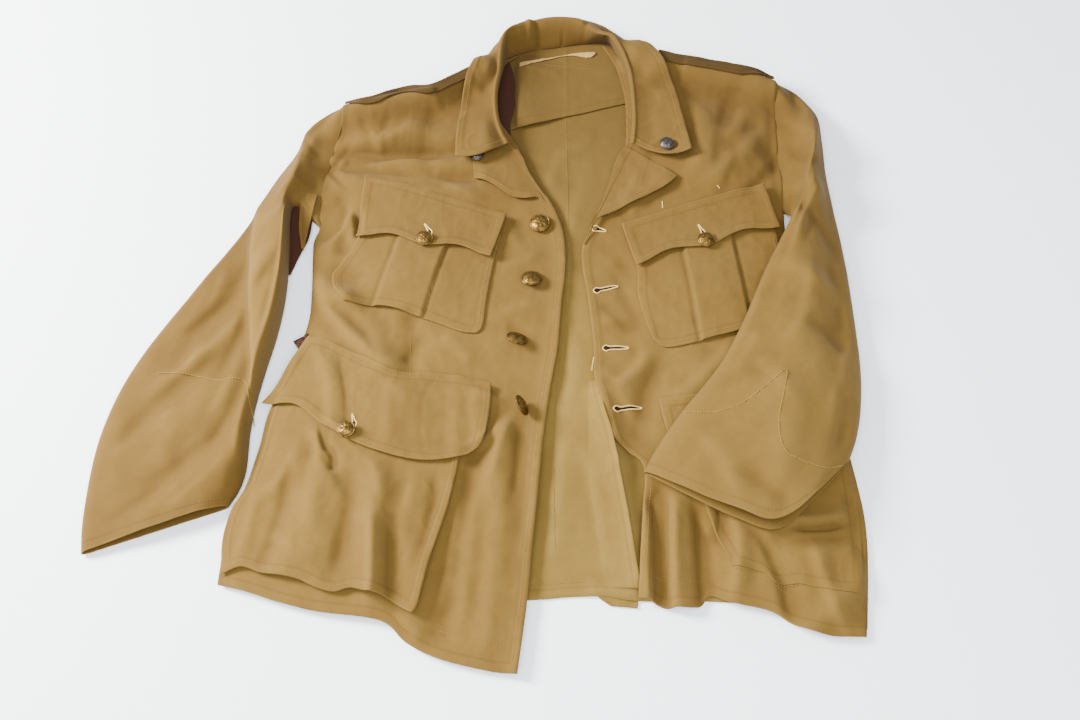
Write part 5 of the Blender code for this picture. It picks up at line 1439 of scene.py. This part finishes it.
@functools.lru_cache(None)
def collar_grid():
    """The collar: rings from the neck seam up the stand, round the roll and down the fall, made fine."""
    rows = resample_rows(COLLAR, COLLAR_RINGS)
    roll, fall = rows[:, 2:5], rows[:, 5:7]
    count = len(rows)
    right_corner, left_corner = NECK_BACK[0][0], NECK_BACK[-1][0]
    on_back = np.clip((rows[:, 0] - right_corner) / 10, 0, 1) * np.clip((left_corner - rows[:, 0]) / 10, 0, 1)
    on_back = np.where(rows[:, 1] > NECK_BACK[0][1], on_back, 0.0)
    outward_way = fall - roll[:, :2]
    outward_way /= np.linalg.norm(outward_way, axis=1)[:, None]
    beside = (1 - on_back) * (rows[:, 0] < right_corner + 1)
    shift = 14.0 * beside + 8.0 * (1 - on_back) * (1 - beside) + 1.5 * on_back
    foot_place = rows[:, :2] + outward_way * shift[:, None]
    bent = ripple(rows[:, 0], rows[:, 1], 63, 26.0, 1.6) * on_back
    roll = roll + np.column_stack([0 * bent, bent - 13.0 * on_back, bent - 2.0 * on_back])
    foot = front_top(rows[:, 0], rows[:, 1]) + STAND_FOOT_FRONT - 2.0 * (1 - beside)
    seam = np.column_stack([foot_place, foot * (1 - on_back) + (STAND_FOOT_BACK + 1.6) * on_back])
    ends = np.abs(np.linspace(-1, 1, count))
    points = [seam * (1 - t) + roll * t for t in (0.0, 0.4, 0.75)]
    radius = 4.0
    for angle in (150, 90, 30):
        turn = math.radians(angle)
        flat = roll[:, :2] + outward_way * radius * (1 + math.cos(turn))
        points.append(np.column_stack([flat, roll[:, 2] + radius * (math.sin(turn) - 1)]))
    start = points[-1]
    for t in (0.25, 0.5, 0.75, 1.0):
        flat = start[:, :2] * (1 - t) + fall * t
        bow = COLLAR_END_BOW * np.sin(math.pi * t) * np.clip((ends - 0.9) / 0.1, 0, 1)
        flat = flat + np.column_stack([0 * bow, -bow])
        lying = widened(collar_support, flat[:, 0], flat[:, 1], 9.0) + rows[:, 7] + CLOTH
        hang = start[:, 2] * (1 - t) + lying * t
        points.append(np.column_stack([flat, np.maximum(hang - 3.0 * math.sin(math.pi * t), lying)]))
    grid = denser(denser(np.stack(points, axis=1), 0, COLLAR_ALONG), 1, COLLAR_ACROSS)
    x, y = grid[..., 0], grid[..., 1]
    weight = np.clip(np.arange(grid.shape[1]) / (4 * COLLAR_ACROSS) - 0.8, 0, 1)[None]
    grid[..., 2] += weight * (ripple(x, y, 61, 52.0, 0.9) + creasing(x, y, 62, 60.0, 0.6))
    stud_x, stud_y = STUD_LEFT
    seat = np.exp(-((x - stud_x) / 13) ** 2 - ((y - stud_y) / 8) ** 2)
    pucker = np.exp(-((np.hypot((x - stud_x) / 15, (y - stud_y) / 10) - 1.15) / 0.28) ** 2)
    grid[..., 2] += folds(x, y, FINE_COLLAR) * 0.8 + (1.5 * pucker - 1.9 * seat) * weight
    distances = edge_distances(grid)
    near = np.minimum(np.minimum(distances["left"], distances["right"]), distances["top"])
    grid[..., 2] += EDGE_TURN * turned_in(near)
    grid[..., 2] = np.maximum(grid[..., 2], COLLAR_LOWEST)
    return grid, near


def collar_support(x, y):
    """Top of what the collar's fall lies on: the fronts with the lapels and straps, and else the table."""
    body = outline_of(SHOULDER_RIGHT[::-1], [(-222.0, 200.0), (-37.0, 200.0)], NECK_RIGHT[::-1])
    other = outline_of(SHOULDER_LEFT[::-1], [(270.0, 200.0), (97.0, 200.0)], NECK_LEFT[::-1])
    on_body = inside(body, x, y) | inside(other, x, y)
    return np.where(on_body, front_top(x, y) + 2 * GAP + 2.4, 0.0)


def outline_of(*edges):
    """One outline from smooth curves through edges that follow each other."""
    return joined(*(smooth_curve(edge, 20.0) for edge in edges))


# Half section of a button from the middle of its dome to the middle of its shank, in radii: radius, height
BUTTON_SECTION = [
    (0.0, 0.44), (0.10, 0.44), (0.22, 0.43), (0.36, 0.41), (0.50, 0.37), (0.62, 0.32), (0.72, 0.26), (0.80, 0.21),
    (0.84, 0.17), (0.88, 0.17), (0.92, 0.18), (0.97, 0.16), (1.0, 0.11), (0.99, 0.05), (0.94, 0.0), (0.60, -0.03),
    (0.26, -0.05), (0.22, -0.16), (0.22, -0.26), (0.0, -0.26),
]
BUTTON_AROUND = 72


def button_grid(diameter, petals, boss):
    """A turned button: radius and height of its half section, with a roped rim and a plain rosette on its dome."""
    r = diameter / 2
    profile = denser(np.array(BUTTON_SECTION)[:, None, :], 0, 3)[:, 0]
    turn = np.arange(BUTTON_AROUND) * 2 * math.pi / BUTTON_AROUND
    radius, height = profile[:, 0][:, None] * r, profile[:, 1][:, None] * r
    share = profile[:, 0][:, None]
    front = (height > 0.1 * r).astype(float)
    rope = 0.16 * np.cos(28 * turn + share * 60) * np.exp(-((share - 0.92) / 0.035) ** 2)
    leaf = 0.30 * np.maximum(np.cos(petals * turn), -0.2) * np.exp(-((share - 0.46) / 0.17) ** 2)
    ring = 0.22 * np.exp(-((share - 0.72) / 0.035) ** 2)
    knob = boss * np.exp(-(share / 0.14) ** 2)
    height = height + front * (rope + leaf + ring + knob)
    return np.dstack([radius * np.cos(turn), radius * np.sin(turn), height + 0 * turn])


def placed(points, x, y, tilt, lean, surface):
    """Points of a button turned by its tilt and lean, and set down just clear of the cloth."""
    turn = np.array(Matrix.Rotation(math.radians(lean), 3, "Z") @ Matrix.Rotation(math.radians(tilt), 3, "Y"))
    points = points @ turn.T
    low = points[points[..., 2] < points[..., 2].min() + 3.0]
    ground = widened(surface, low[:, 0] + x, low[:, 1] + y, 1.5)
    lift = np.max(ground - low[:, 2]) + 0.25
    return points + (x, y, lift)


def round_piece(name, grid, material, nodes):
    """A closed turned form from its grid: poles at the ends of the first axis are closed by its own points."""
    count, around = grid.shape[:2]
    vertices = np.vstack([grid[:1].mean(axis=1), grid[1:-1].reshape(-1, 3), grid[-1:].mean(axis=1)])
    quads = 1 + grid_quads((count - 2, around), closed=True)
    first, last = 1 + np.arange(around), len(vertices) - 1 - around + np.arange(around)
    near_pole = np.column_stack([np.zeros(around, int), np.roll(first, -1), first])
    far_pole = np.column_stack([np.full(around, len(vertices) - 1), last, np.roll(last, -1)])
    triangles = np.vstack([quads[:, [0, 1, 2]], quads[:, [0, 2, 3]], near_pole, far_pole])
    return new_piece(name, vertices, outward(vertices, triangles), material, nodes)


def tube_along(path, radius, sides=8):
    """A closed ring of thread: circles whose radius changes along a closed path in three dimensions."""
    ahead = np.roll(path, -1, axis=0) - np.roll(path, 1, axis=0)
    ahead /= np.linalg.norm(ahead, axis=1)[:, None]
    side = np.cross(ahead, [0.0, 0.0, 1.0])
    side /= np.maximum(np.linalg.norm(side, axis=1), 1e-9)[:, None]
    up = np.cross(side, ahead)
    turn = np.arange(sides) * 2 * math.pi / sides
    return path[:, None] + (side[:, None] * np.cos(turn)[None, :, None]
                            + up[:, None] * np.sin(turn)[None, :, None]) * radius[:, None, None]


def torus_faces(count, sides):
    """Faces of four of a grid that is closed along both axes."""
    index = np.arange(count * sides).reshape(count, sides)
    ahead = np.roll(index, -1, axis=0)
    return np.stack([index, np.roll(index, -1, axis=1), np.roll(ahead, -1, axis=1), ahead], axis=-1).reshape(-1, 4)


def facing_top(x, y):
    """Top of the neck facing: it lies on the back, and rises beside the collar's right roll."""
    beside = (0.5 + 0.5 * np.tanh((x + 27) / 2.5)) * np.exp(-(np.maximum(x + 27, 0) / 34) ** 2)
    ends = np.clip((y - 296) / 24, 0, 1) * np.clip((416 - y) / 24, 0, 1)
    return back_top(x, y) + GAP + 1.2 + 8.0 * beside * ends


# Buttonholes: name, x and y of the eye, x and y of the tail, surface
HOLES = [
    ("buttonhole_1", 57, 163, 72, 158, "front"), ("buttonhole_2", 57, 80, 83, 87, "front"),
    ("buttonhole_3", 65, 10, 92, 10, "front"), ("buttonhole_4", 74, -63, 103, -59, "front"),
    ("buttonhole_breast_right", -117, 147, -125, 160, "breast_flap"),
    ("buttonhole_breast_left", 178, 147, 172, 160, "breast_flap"),
    ("buttonhole_skirt_right", -183, -88, -187, -74, "skirt_flap"),
]


def hole_surface(kind):
    """The field that gives the top of what a buttonhole or button lies on."""
    return {"front": front_top, "breast_flap": lambda x, y: flap_base(x, y) + CLOTH,
            "skirt_flap": lambda x, y: plain_flap_base(x, y) + CLOTH}[kind]


def keyhole(along, eye, shank):
    """Half width of a keyhole at places along it: wide at its eye and narrower towards its tail."""
    return eye * np.exp(-((along - 3.0) / 3.2) ** 2) + shank


def make_holes(finish):
    """Keyhole buttonholes: a bound ring, round at the eye and narrow at the tail, round a slit that is a dark plate
    of painted shade.
    """
    for name, x0, y0, x1, y1, kind in HOLES:
        surface = hole_surface(kind)
        length = math.hypot(x1 - x0, y1 - y0)
        ux, uy = (x1 - x0) / length, (y1 - y0) / length
        slim = 1.0 if kind == "front" else 0.5
        turn = np.arange(120) * 2 * math.pi / 120
        along = length * (0.5 - 0.5 * np.cos(turn))
        shank = 1.9 * np.sin(np.clip(along / length, 0, 1) * math.pi) ** 0.3
        across = slim * keyhole(along, 2.5, shank) * np.sign(np.sin(turn)) * np.abs(np.sin(turn)) ** 0.35
        x, y = x0 + ux * along - uy * across, y0 + uy * along + ux * across
        ring = tube_along(np.column_stack([x, y, surface(x, y) + 0.35]), 0.72 + 0.12 * np.sin(turn * 40))
        points = ring.reshape(-1, 3)
        faces = outward(points, torus_faces(*ring.shape[:2]))
        new_piece(name, points, faces, finish["cream"])
        share = np.linspace(0.04, 0.96, 24)
        half = slim * keyhole(share * length, 2.3, 1.65 * np.sin(share * math.pi) ** 0.4)
        along, across = share[:, None] * length, np.linspace(-1, 1, 7) * half[:, None]
        x, y = x0 + ux * along - uy * across, y0 + uy * along + ux * across
        # painted shade: a dark plate in the cut of the buttonhole
        points, faces = plate(np.dstack([x, y, surface(x, y) + 0.42]), 0.6)
        new_piece(name + "_painted_shade_slit", points, faces, finish["dark"])


class TunicCloth(bpy.types.PropertyGroup):
    """Colours of the cloth, depth of its folds and size of its stitches"""
    khaki: FloatVectorProperty(name="Khaki", description="Middle colour of the drill", subtype="COLOR",
                               default=(0.122, 0.068, 0.0125), min=0, max=1)
    # the rubbed colour serves clouds and worn edges, and the painted highlight on ridges
    khaki_light: FloatVectorProperty(name="Khaki, rubbed", description="Colour of ridges and edges",
                                     subtype="COLOR", default=(0.170, 0.105, 0.026), min=0, max=1)
    # the deep colour serves flecks, and the painted shade in hollows and towards the shoulders
    khaki_dark: FloatVectorProperty(name="Khaki, deep", description="Colour of hollows", subtype="COLOR",
                                    default=(0.047, 0.0217, 0.0034), min=0, max=1)
    fold_depth: FloatProperty(name="Fold depth", description="Share of its measured height that a fine fold has",
                              default=1.5, min=0, max=3)
    stitch_pitch: FloatProperty(name="Stitch pitch", description="From one stitch of a seam to the next",
                                default=3.4 * MM, min=0.001, unit="LENGTH")
    stitch_length: FloatProperty(name="Stitch length", description="Length of one stitch that shows",
                                 default=2.5 * MM, min=0.0005, unit="LENGTH")
    stitch_width: FloatProperty(name="Thread width", description="Thickness of the sewing thread",
                                default=0.6 * MM, min=0.0001, unit="LENGTH")
    cream: FloatVectorProperty(name="Cream", description="Colour of the neck tape", subtype="COLOR",
                               default=(0.385, 0.235, 0.078), min=0, max=1)


class TunicMetal(bpy.types.PropertyGroup):
    """Colours and sizes of the buttons and studs"""
    brass: FloatVectorProperty(name="Brass", description="Colour of the rubbed buttons", subtype="COLOR",
                               default=(0.184, 0.107, 0.028), min=0, max=1)
    stud_width: FloatProperty(name="Collar stud", description="Diameter of a collar stud", default=COLLAR_STUD * MM,
                              min=0.005, unit="LENGTH")
    relief: FloatProperty(name="Button relief", description="Height of the petals on a brass button",
                          default=0.4 * MM, min=0, unit="LENGTH")
    bronze: FloatVectorProperty(name="Bronze", description="Colour of the collar studs", subtype="COLOR",
                                default=(0.115, 0.098, 0.084), min=0, max=1)


class TunicStage(bpy.types.PropertyGroup):
    """Table and lights"""
    floor: FloatVectorProperty(name="Table", description="Colour of the table", subtype="COLOR",
                               default=(0.942, 0.978, 0.996), min=0, max=1)
    light: FloatProperty(name="Key light", description="Power of the light from the right sleeve's side",
                         default=172.0, min=0, unit="POWER")
    fill: FloatProperty(name="Sky", description="Strength of the even light all round", default=1.29, min=0)


class TUNIC_OT_back(bpy.types.Operator):
    """The back with its inner neck facing: the underside stays flat on the table"""
    bl_idname = "tunic.back"
    bl_label = "Back"

    def execute(self, context):
        finish = finishes()
        grid, near = back_grid()
        under = grid.copy()
        lift = grid[..., 2] - back_top(grid[..., 0], grid[..., 1])
        under[..., 2] = np.maximum(grid[..., 2] - lift - CLOTH, 0.0)    # less what the turned hem adds
        cloth_piece("drill_back", grid, near, finish["inner"], ["back"], flat_under=under)
        flat = patch(FACING_LOWER, FACING_UPPER, FACING_RIGHT, FACING_LEFT, SMALL_STEP * 1.2)
        grid, near = raised(flat, facing_top, ("bottom",), 0.4)
        cloth_piece("drill_neck_facing", grid, near, finish["inner"], ["back_neck_facing"],
                    wall=1.2)
        edge, inner = BACK_EDGE[::-1], BACK_FOLD_INNER
        flat = patch([inner[0], (68, -250), edge[0]], [inner[-1], edge[-1]], inner, edge, SMALL_STEP)
        share = np.linspace(0, 1, len(flat))[:, None]
        lift = np.interp(flat[..., 1], [-226, -120, -60, -28], [2.6, 4.6, 7.0, 5.0]) * share ** 1.6
        height = back_top(flat[..., 0], flat[..., 1])
        base = height - back_edge(flat[..., 0], flat[..., 1])
        grid = np.dstack([flat, np.maximum(height, base + 0.2) + 0.5 * share - 0.5 + lift])
        cloth_piece("drill_back_fold", grid, edge_distances(grid)["right"] + 2.0, finish["inner"],
                    wall=1.2)
        for name, left, right, top, kind in STRIPS:
            flat = patch([left[0], right[0]], [left[-1], right[-1]], left, right, 1.5)
            x, y = flat[..., 0], flat[..., 1]
            if top is None:
                height = back_top(x, y) + 3.2
            else:
                height = top + 0.05 * np.maximum(y - 104, 0) + ripple(x, y, 91, 24, 0.6)
            grid = np.dstack([flat, height])
            cloth_piece(name, grid, edge_distances(grid)["left"] + 5.0, finish[kind], wall=1.2)
        return {"FINISHED"}


class TUNIC_OT_fronts(bpy.types.Operator):
    """Both fronts, from the shoulder seam to the hem"""
    bl_idname = "tunic.fronts"
    bl_label = "Fronts"

    def execute(self, context):
        finish = finishes()
        for side in ("right", "left"):
            grid, near = front_grid(side)
            cloth_piece("drill_front_" + side, grid, near, finish["outer"], ["front_" + side])
        return {"FINISHED"}


class TUNIC_OT_small(bpy.types.Operator):
    """Pockets with their pleats, flaps and lapels"""
    bl_idname = "tunic.pockets"
    bl_label = "Pockets, flaps and lapels"

    def execute(self, context):
        finish = finishes()
        for name in SMALL_NAMES:
            grid, near = small_grid(name)
            cloth_piece("drill_" + name, grid, near, finish["outer"], [name])
        return {"FINISHED"}


class TUNIC_OT_straps(bpy.types.Operator):
    """Shoulder straps in a darkened copy of the drill that paints their shade, behind the ridge of each shoulder"""
    bl_idname = "tunic.straps"
    bl_label = "Shoulder straps"

    def execute(self, context):
        finish = finishes()
        for side, row in (("right", SHOULDER_RIGHT[:-2]), ("left", SHOULDER_LEFT[:-2][::-1])):
            shoulder = smooth_curve(row, 6.0)
            ridge = front_top(shoulder[:, 0], shoulder[:, 1] - 20.0) + 4.5
            outer_end = np.abs(shoulder[:, 0] - shoulder[0 if side == "right" else -1, 0])
            ridge = ridge - 7.0 * np.exp(-(outer_end / 16.0) ** 2)
            far = shoulder - np.column_stack([0 * ridge, 0.577 * np.maximum(ridge - 3.0, 0)])
            near_row = far - np.column_stack([0 * ridge, 3.0 + 11.0 * np.clip(outer_end / 40.0, 0, 1)])
            flat = patch(near_row, far, [near_row[0], far[0]], [near_row[-1], far[-1]], SMALL_STEP, smooth=False)

            def height(x, y):
                level = np.interp(x, shoulder[:, 0], ridge)
                return np.maximum(level + ripple(x, y, 71, 20, 0.5), front_top(x, y) + GAP + 1.8)

            grid, near = raised(flat, height, curl=(("top", 0.8, 5.0),))
            cloth_piece("drill_strap_" + side, grid, near + 5.0, finish["strap"],
                        ["shoulder_strap_" + side], wall=1.8)
        return {"FINISHED"}


class TUNIC_OT_sleeves(bpy.types.Operator):
    """Sleeves and cuffs, flattened tubes of one wall"""
    bl_idname = "tunic.sleeves"
    bl_label = "Sleeves and cuffs"

    def execute(self, context):
        finish = finishes()
        cut = CUFF_START * TUBE_ALONG
        for side in ("right", "left"):
            rings = sleeve_grid(side)
            far = np.full(rings.shape[:2], 60.0)
            end = edge_distances(rings)["right"]
            sunk = hollows(rings, True)
            if side == "right":
                # painted shade on the right sleeve's outer face and painted highlight on the band past its edge: the
                # values that the material darkens by are raised left of the edge line and lowered right of it
                across = rings[..., 0] - curve_x(SLEEVE_EDGE, rings[..., 1])
                sunk = 0.6 * sunk + 3.0 - 4.4 * (0.5 + 0.5 * np.tanh(across / 1.5))
            cloth_piece("drill_sleeve_" + side, rings[:cut + 1], far[:cut + 1], finish["outer"],
                        ["sleeve_" + side], closed=True, hollow=sunk[:cut + 1])
            cloth_piece("drill_cuff_" + side, rings[cut:], end[cut:], finish["outer"],
                        ["cuff_" + side], closed=True, hollow=sunk[cut:])
        return {"FINISHED"}


class TUNIC_OT_collar(bpy.types.Operator):
    """Collar: stand, roll and fall in one sweep round the neck"""
    bl_idname = "tunic.collar"
    bl_label = "Collar"

    def execute(self, context):
        finish = finishes()
        grid, near = collar_grid()
        cloth_piece("drill_collar", grid, near, finish["outer"], ["collar"], wall=1.8)
        return {"FINISHED"}


class TUNIC_OT_buttons(bpy.types.Operator):
    """Brass buttons and dark collar studs, each turned and set down on its cloth"""
    bl_idname = "tunic.buttons"
    bl_label = "Buttons and studs"

    def execute(self, context):
        finish = finishes()
        metal = context.scene.tunic_metal
        relief, stud = round(metal.relief / MM, 4), round(metal.stud_width / MM, 4)
        for name, x, y, diameter, tilt, lean in FRONT_BUTTONS + POCKET_BUTTONS:
            kind = "front" if name.startswith("front") else name.split("_")[0] + "_flap"
            grid = placed(button_grid(diameter, 8, relief), x, y, tilt, lean, hole_surface(kind))
            round_piece("brass_" + name, grid, finish["brass"], [name])
        collar = collar_grid()[0].reshape(-1, 3)

        def on_collar(x, y):
            away = np.hypot(collar[:, 0] - np.ravel(x)[:, None], collar[:, 1] - np.ravel(y)[:, None])
            return np.max(np.where(away < 3.0, collar[:, 2], 0.0), axis=1).reshape(np.shape(x))

        def on_lapel(x, y):
            return front_top(x, y) + GAP + CLOTH

        for name, place, surface in (("collar_stud_left", STUD_LEFT, on_collar),
                                     ("collar_stud_right", STUD_RIGHT, on_lapel)):
            grid = placed(button_grid(stud, 6, 0.75 * relief), *place, 0, 0, surface)
            round_piece("bronze_" + name, grid, finish["bronze"], [name])
        return {"FINISHED"}


class TUNIC_OT_trim(bpy.types.Operator):
    """Neck tape, belt hook and buttonholes"""
    bl_idname = "tunic.trim"
    bl_label = "Tape, hook and buttonholes"

    def execute(self, context):
        finish = finishes()
        row = smooth_curve(TAPE_TOP, 6.0)
        drop = np.interp(row[:, 0], *TAPE_WIDTH)
        low = row - np.column_stack([0 * drop, drop + 0.5 * np.sin(row[:, 0] * 0.9)])
        flat = patch(low, row, [low[0], row[0]], [low[-1], row[-1]], 1.0, smooth=False)
        grid, near = raised(flat, lambda x, y: facing_top(x, y) + GAP + 1.3 + ripple(x, y, 81, 9, 0.2), ())
        cloth_piece("cream_neck_tape", grid, near, finish["tape"], ["neck_tape"], wall=1.0)
        low_right, low_left, top_left, top_right = HOOK
        flat = patch([low_right, low_left], [top_right, top_left], [low_right, top_right], [low_left, top_left],
                     1.0, smooth=False)
        x, y = flat[..., 0], flat[..., 1]
        dome = 0.9 * np.exp(-((x + 248) ** 2 + (y - 18) ** 2) / 9)
        points, faces = plate(np.dstack([flat, front_top(x, y) + GAP + 1.5 + dome]), 1.5)
        new_piece("bronze_belt_hook", points, faces, finish["rust"], ["belt_hook"])
        make_holes(finish)
        return {"FINISHED"}


# Lines of stitches that follow no edge: x, y
DART = [(-134, 38), (-134, 3), (-132, -23)]
BAG_LEFT_SEAMS = [[(182, -203), (181, -233), (196, -236), (210, -238)], [(218, -251), (231, -250), (246, -250)]]
CENTRE_SEAM = [(30, 415), (30, 300), (31, 160), (27, 60), (15, -67), (14, -214)]
NECK_SEAM = [(-20, 398), (0, 400), (71, 394)]
LOOSE_THREADS = [[(56, 1), (54, -10), (53, -20)], [(135, 198), (135, 191), (135, 184)],
                 [(195, 214), (198, 211), (201, 209)]]


class TUNIC_OT_stitching(bpy.types.Operator):
    """Machine stitching along turned edges, pockets, cuffs and hems"""
    bl_idname = "tunic.stitching"
    bl_label = "Stitching"

    def execute(self, context):
        finish = finishes()
        for side in ("right", "left"):
            grid = front_grid(side)[0]
            lines = [inset_line(grid, side, 6.0), inset_line(grid, "bottom", 26.0, 8.0)]
            if side == "right":
                lines.append(laid_line(DART, lambda x, y: front_top(x, y) + 0.1))
            stitch_row("stitching_front_" + side, lines, finish["thread"])
        for name in SMALL_NAMES:
            grid = small_grid(name)[0]
            if name == "skirt_pocket_left":
                lines = [laid_line(row, lambda x, y: bag_base(x, y) + 1.0) for row in BAG_LEFT_SEAMS]
            else:
                sides = ("left", "right", "bottom") if "pocket" in name else ("left", "right", "bottom", "top")
                lines = [inset_line(grid, side, 4.5) for side in sides]
            if "breast_flap" in name or name == "skirt_flap_right":
                lines.append(inset_line(grid, "top", 11.0, 5.0))
            stitch_row("stitching_" + name, lines, finish["thread"])
        lines = [inset_line(collar_grid()[0], side, 6.0) for side in ("left", "right", "top")]
        stitch_row("stitching_collar", lines, finish["thread"])
        centre = laid_line(CENTRE_SEAM, lambda x, y: back_top(x, y) + 0.1)
        across = laid_line(NECK_SEAM, lambda x, y: facing_top(x, y) + 0.1)
        lines = [inset_line(back_grid()[0], "bottom", 14.0, 8.0), centre, across]
        stitch_row("stitching_back", lines, finish["thread"])
        for side, row in (("right", CUFF_SEAM_RIGHT), ("left", CUFF_SEAM_LEFT)):
            rings = sleeve_grid(side)
            line = smooth_curve(row, 3.0)
            line = np.column_stack([line, ring_top(rings, line[:, 0], line[:, 1]) + 0.1])
            edge = inset_line(rings[:, :TUBE_UPPER], "right", 9.0, 8.0)
            stitch_row("stitching_cuff_" + side, [line], finish["seam"], radius=0.5, pitch=3.0, length=2.8)
            stitch_row("stitching_cuff_edge_" + side, [edge], finish["thread"])
        lines = [laid_line(row, lambda x, y: front_top(x, y) + 0.3) for row in LOOSE_THREADS]
        stitch_row("stitching_loose_thread", lines, finish["cream"], radius=0.6, pitch=2.4,
                   length=2.4)
        return {"FINISHED"}


TABLE_TOP = -0.0004         # just under the cloth, in metres
EYE_AWAY = 1.4              # from the camera to the middle of the table, in metres


class TUNIC_OT_stage(bpy.types.Operator):
    """Pale table, soft light from one side, and the camera"""
    bl_idname = "tunic.stage"
    bl_label = "Stage"

    def execute(self, context):
        settings = context.scene.tunic_stage
        mesh = bpy.data.meshes.new("table")
        corners = [(x, y, TABLE_TOP) for x, y in ((-4, -4), (4, -4), (4, 4), (-4, 4))]
        mesh.from_pydata(corners, [], [(0, 1, 2, 3)])
        material, tree, shader, place = blank_material("pale table")
        base = tuple(settings.floor)
        cloud = noise(tree, place, 3.0, 3.0)
        tree.links.new(mixed(tree, cloud, base, tuple(c * 0.985 for c in base)), shader.inputs["Base Color"])
        shader.inputs["Roughness"].default_value = 0.8
        mesh.materials.append(material)
        table = bpy.data.objects.new("table", mesh)
        context.collection.objects.link(table)
        world = bpy.data.worlds.new("even light")
        world.use_nodes = True
        world.node_tree.nodes["Background"].inputs["Color"].default_value = (0.88, 0.935, 1.0, 1.0)
        world.node_tree.nodes["Background"].inputs["Strength"].default_value = settings.fill
        context.scene.world = world
        for name, place, power, size, colour in (
                ("key", (-1.6, 0.38, 1.05), settings.light, 0.6, (1.0, 0.98, 0.95)),
                ("top", (0.0, -1.2, 1.9), settings.light * 0.50, 1.8, (0.97, 0.98, 1.0))):
            light = bpy.data.lights.new(name, "AREA")
            light.energy = power
            light.size = size
            light.color = colour
            lamp = bpy.data.objects.new(name, light)
            lamp.location = place
            lamp.rotation_euler = look(-np.asarray(place, float))
            context.collection.objects.link(lamp)
        camera = bpy.data.cameras.new("camera")
        camera.lens = 45.0
        camera.sensor_width = 36.0
        eye = bpy.data.objects.new("camera", camera)
        eye.location = (0.0, -0.7, EYE_AWAY * math.sin(math.radians(60)))
        eye.rotation_euler = (math.radians(30), 0.0, 0.0)
        context.collection.objects.link(eye)
        context.scene.camera = eye
        return {"FINISHED"}


def look(way):
    """Turns of a lamp so that its beam runs along a way."""
    return Vector(way).to_track_quat("-Z", "Y").to_euler()


OPERATORS = [TUNIC_OT_back, TUNIC_OT_fronts, TUNIC_OT_small, TUNIC_OT_straps, TUNIC_OT_sleeves, TUNIC_OT_collar,
             TUNIC_OT_buttons, TUNIC_OT_trim, TUNIC_OT_stitching, TUNIC_OT_stage]


class TUNIC_PT_panel(bpy.types.Panel):
    """The sizes, colours and lights, and a button for each group of pieces"""
    bl_idname = "TUNIC_PT_panel"
    bl_label = "Tunic"
    bl_space_type = "VIEW_3D"
    bl_region_type = "UI"
    bl_category = "Tunic"

    def draw(self, context):
        for group in (context.scene.tunic_cloth, context.scene.tunic_metal, context.scene.tunic_stage):
            for name in group.__annotations__:
                self.layout.prop(group, name)
        for operator in OPERATORS:
            self.layout.operator(operator.bl_idname)


GROUPS = (("tunic_cloth", TunicCloth), ("tunic_metal", TunicMetal), ("tunic_stage", TunicStage))


def register():
    """Makes the properties, operators and panel known."""
    for name, group in GROUPS:
        bpy.utils.register_class(group)
        setattr(bpy.types.Scene, name, PointerProperty(type=group))
    for operator in OPERATORS + [TUNIC_PT_panel]:
        bpy.utils.register_class(operator)


def unregister():
    """Takes them out again."""
    for operator in OPERATORS + [TUNIC_PT_panel]:
        bpy.utils.unregister_class(operator)
    for name, group in GROUPS:
        delattr(bpy.types.Scene, name)
        bpy.utils.unregister_class(group)


def main():
    """Builds every group of pieces and the stage."""
    register()
    for part in ("back", "fronts", "pockets", "straps", "sleeves", "collar", "buttons", "trim", "stitching", "stage"):
        getattr(bpy.ops.tunic, part)()


if __name__ == "__main__":
    main()
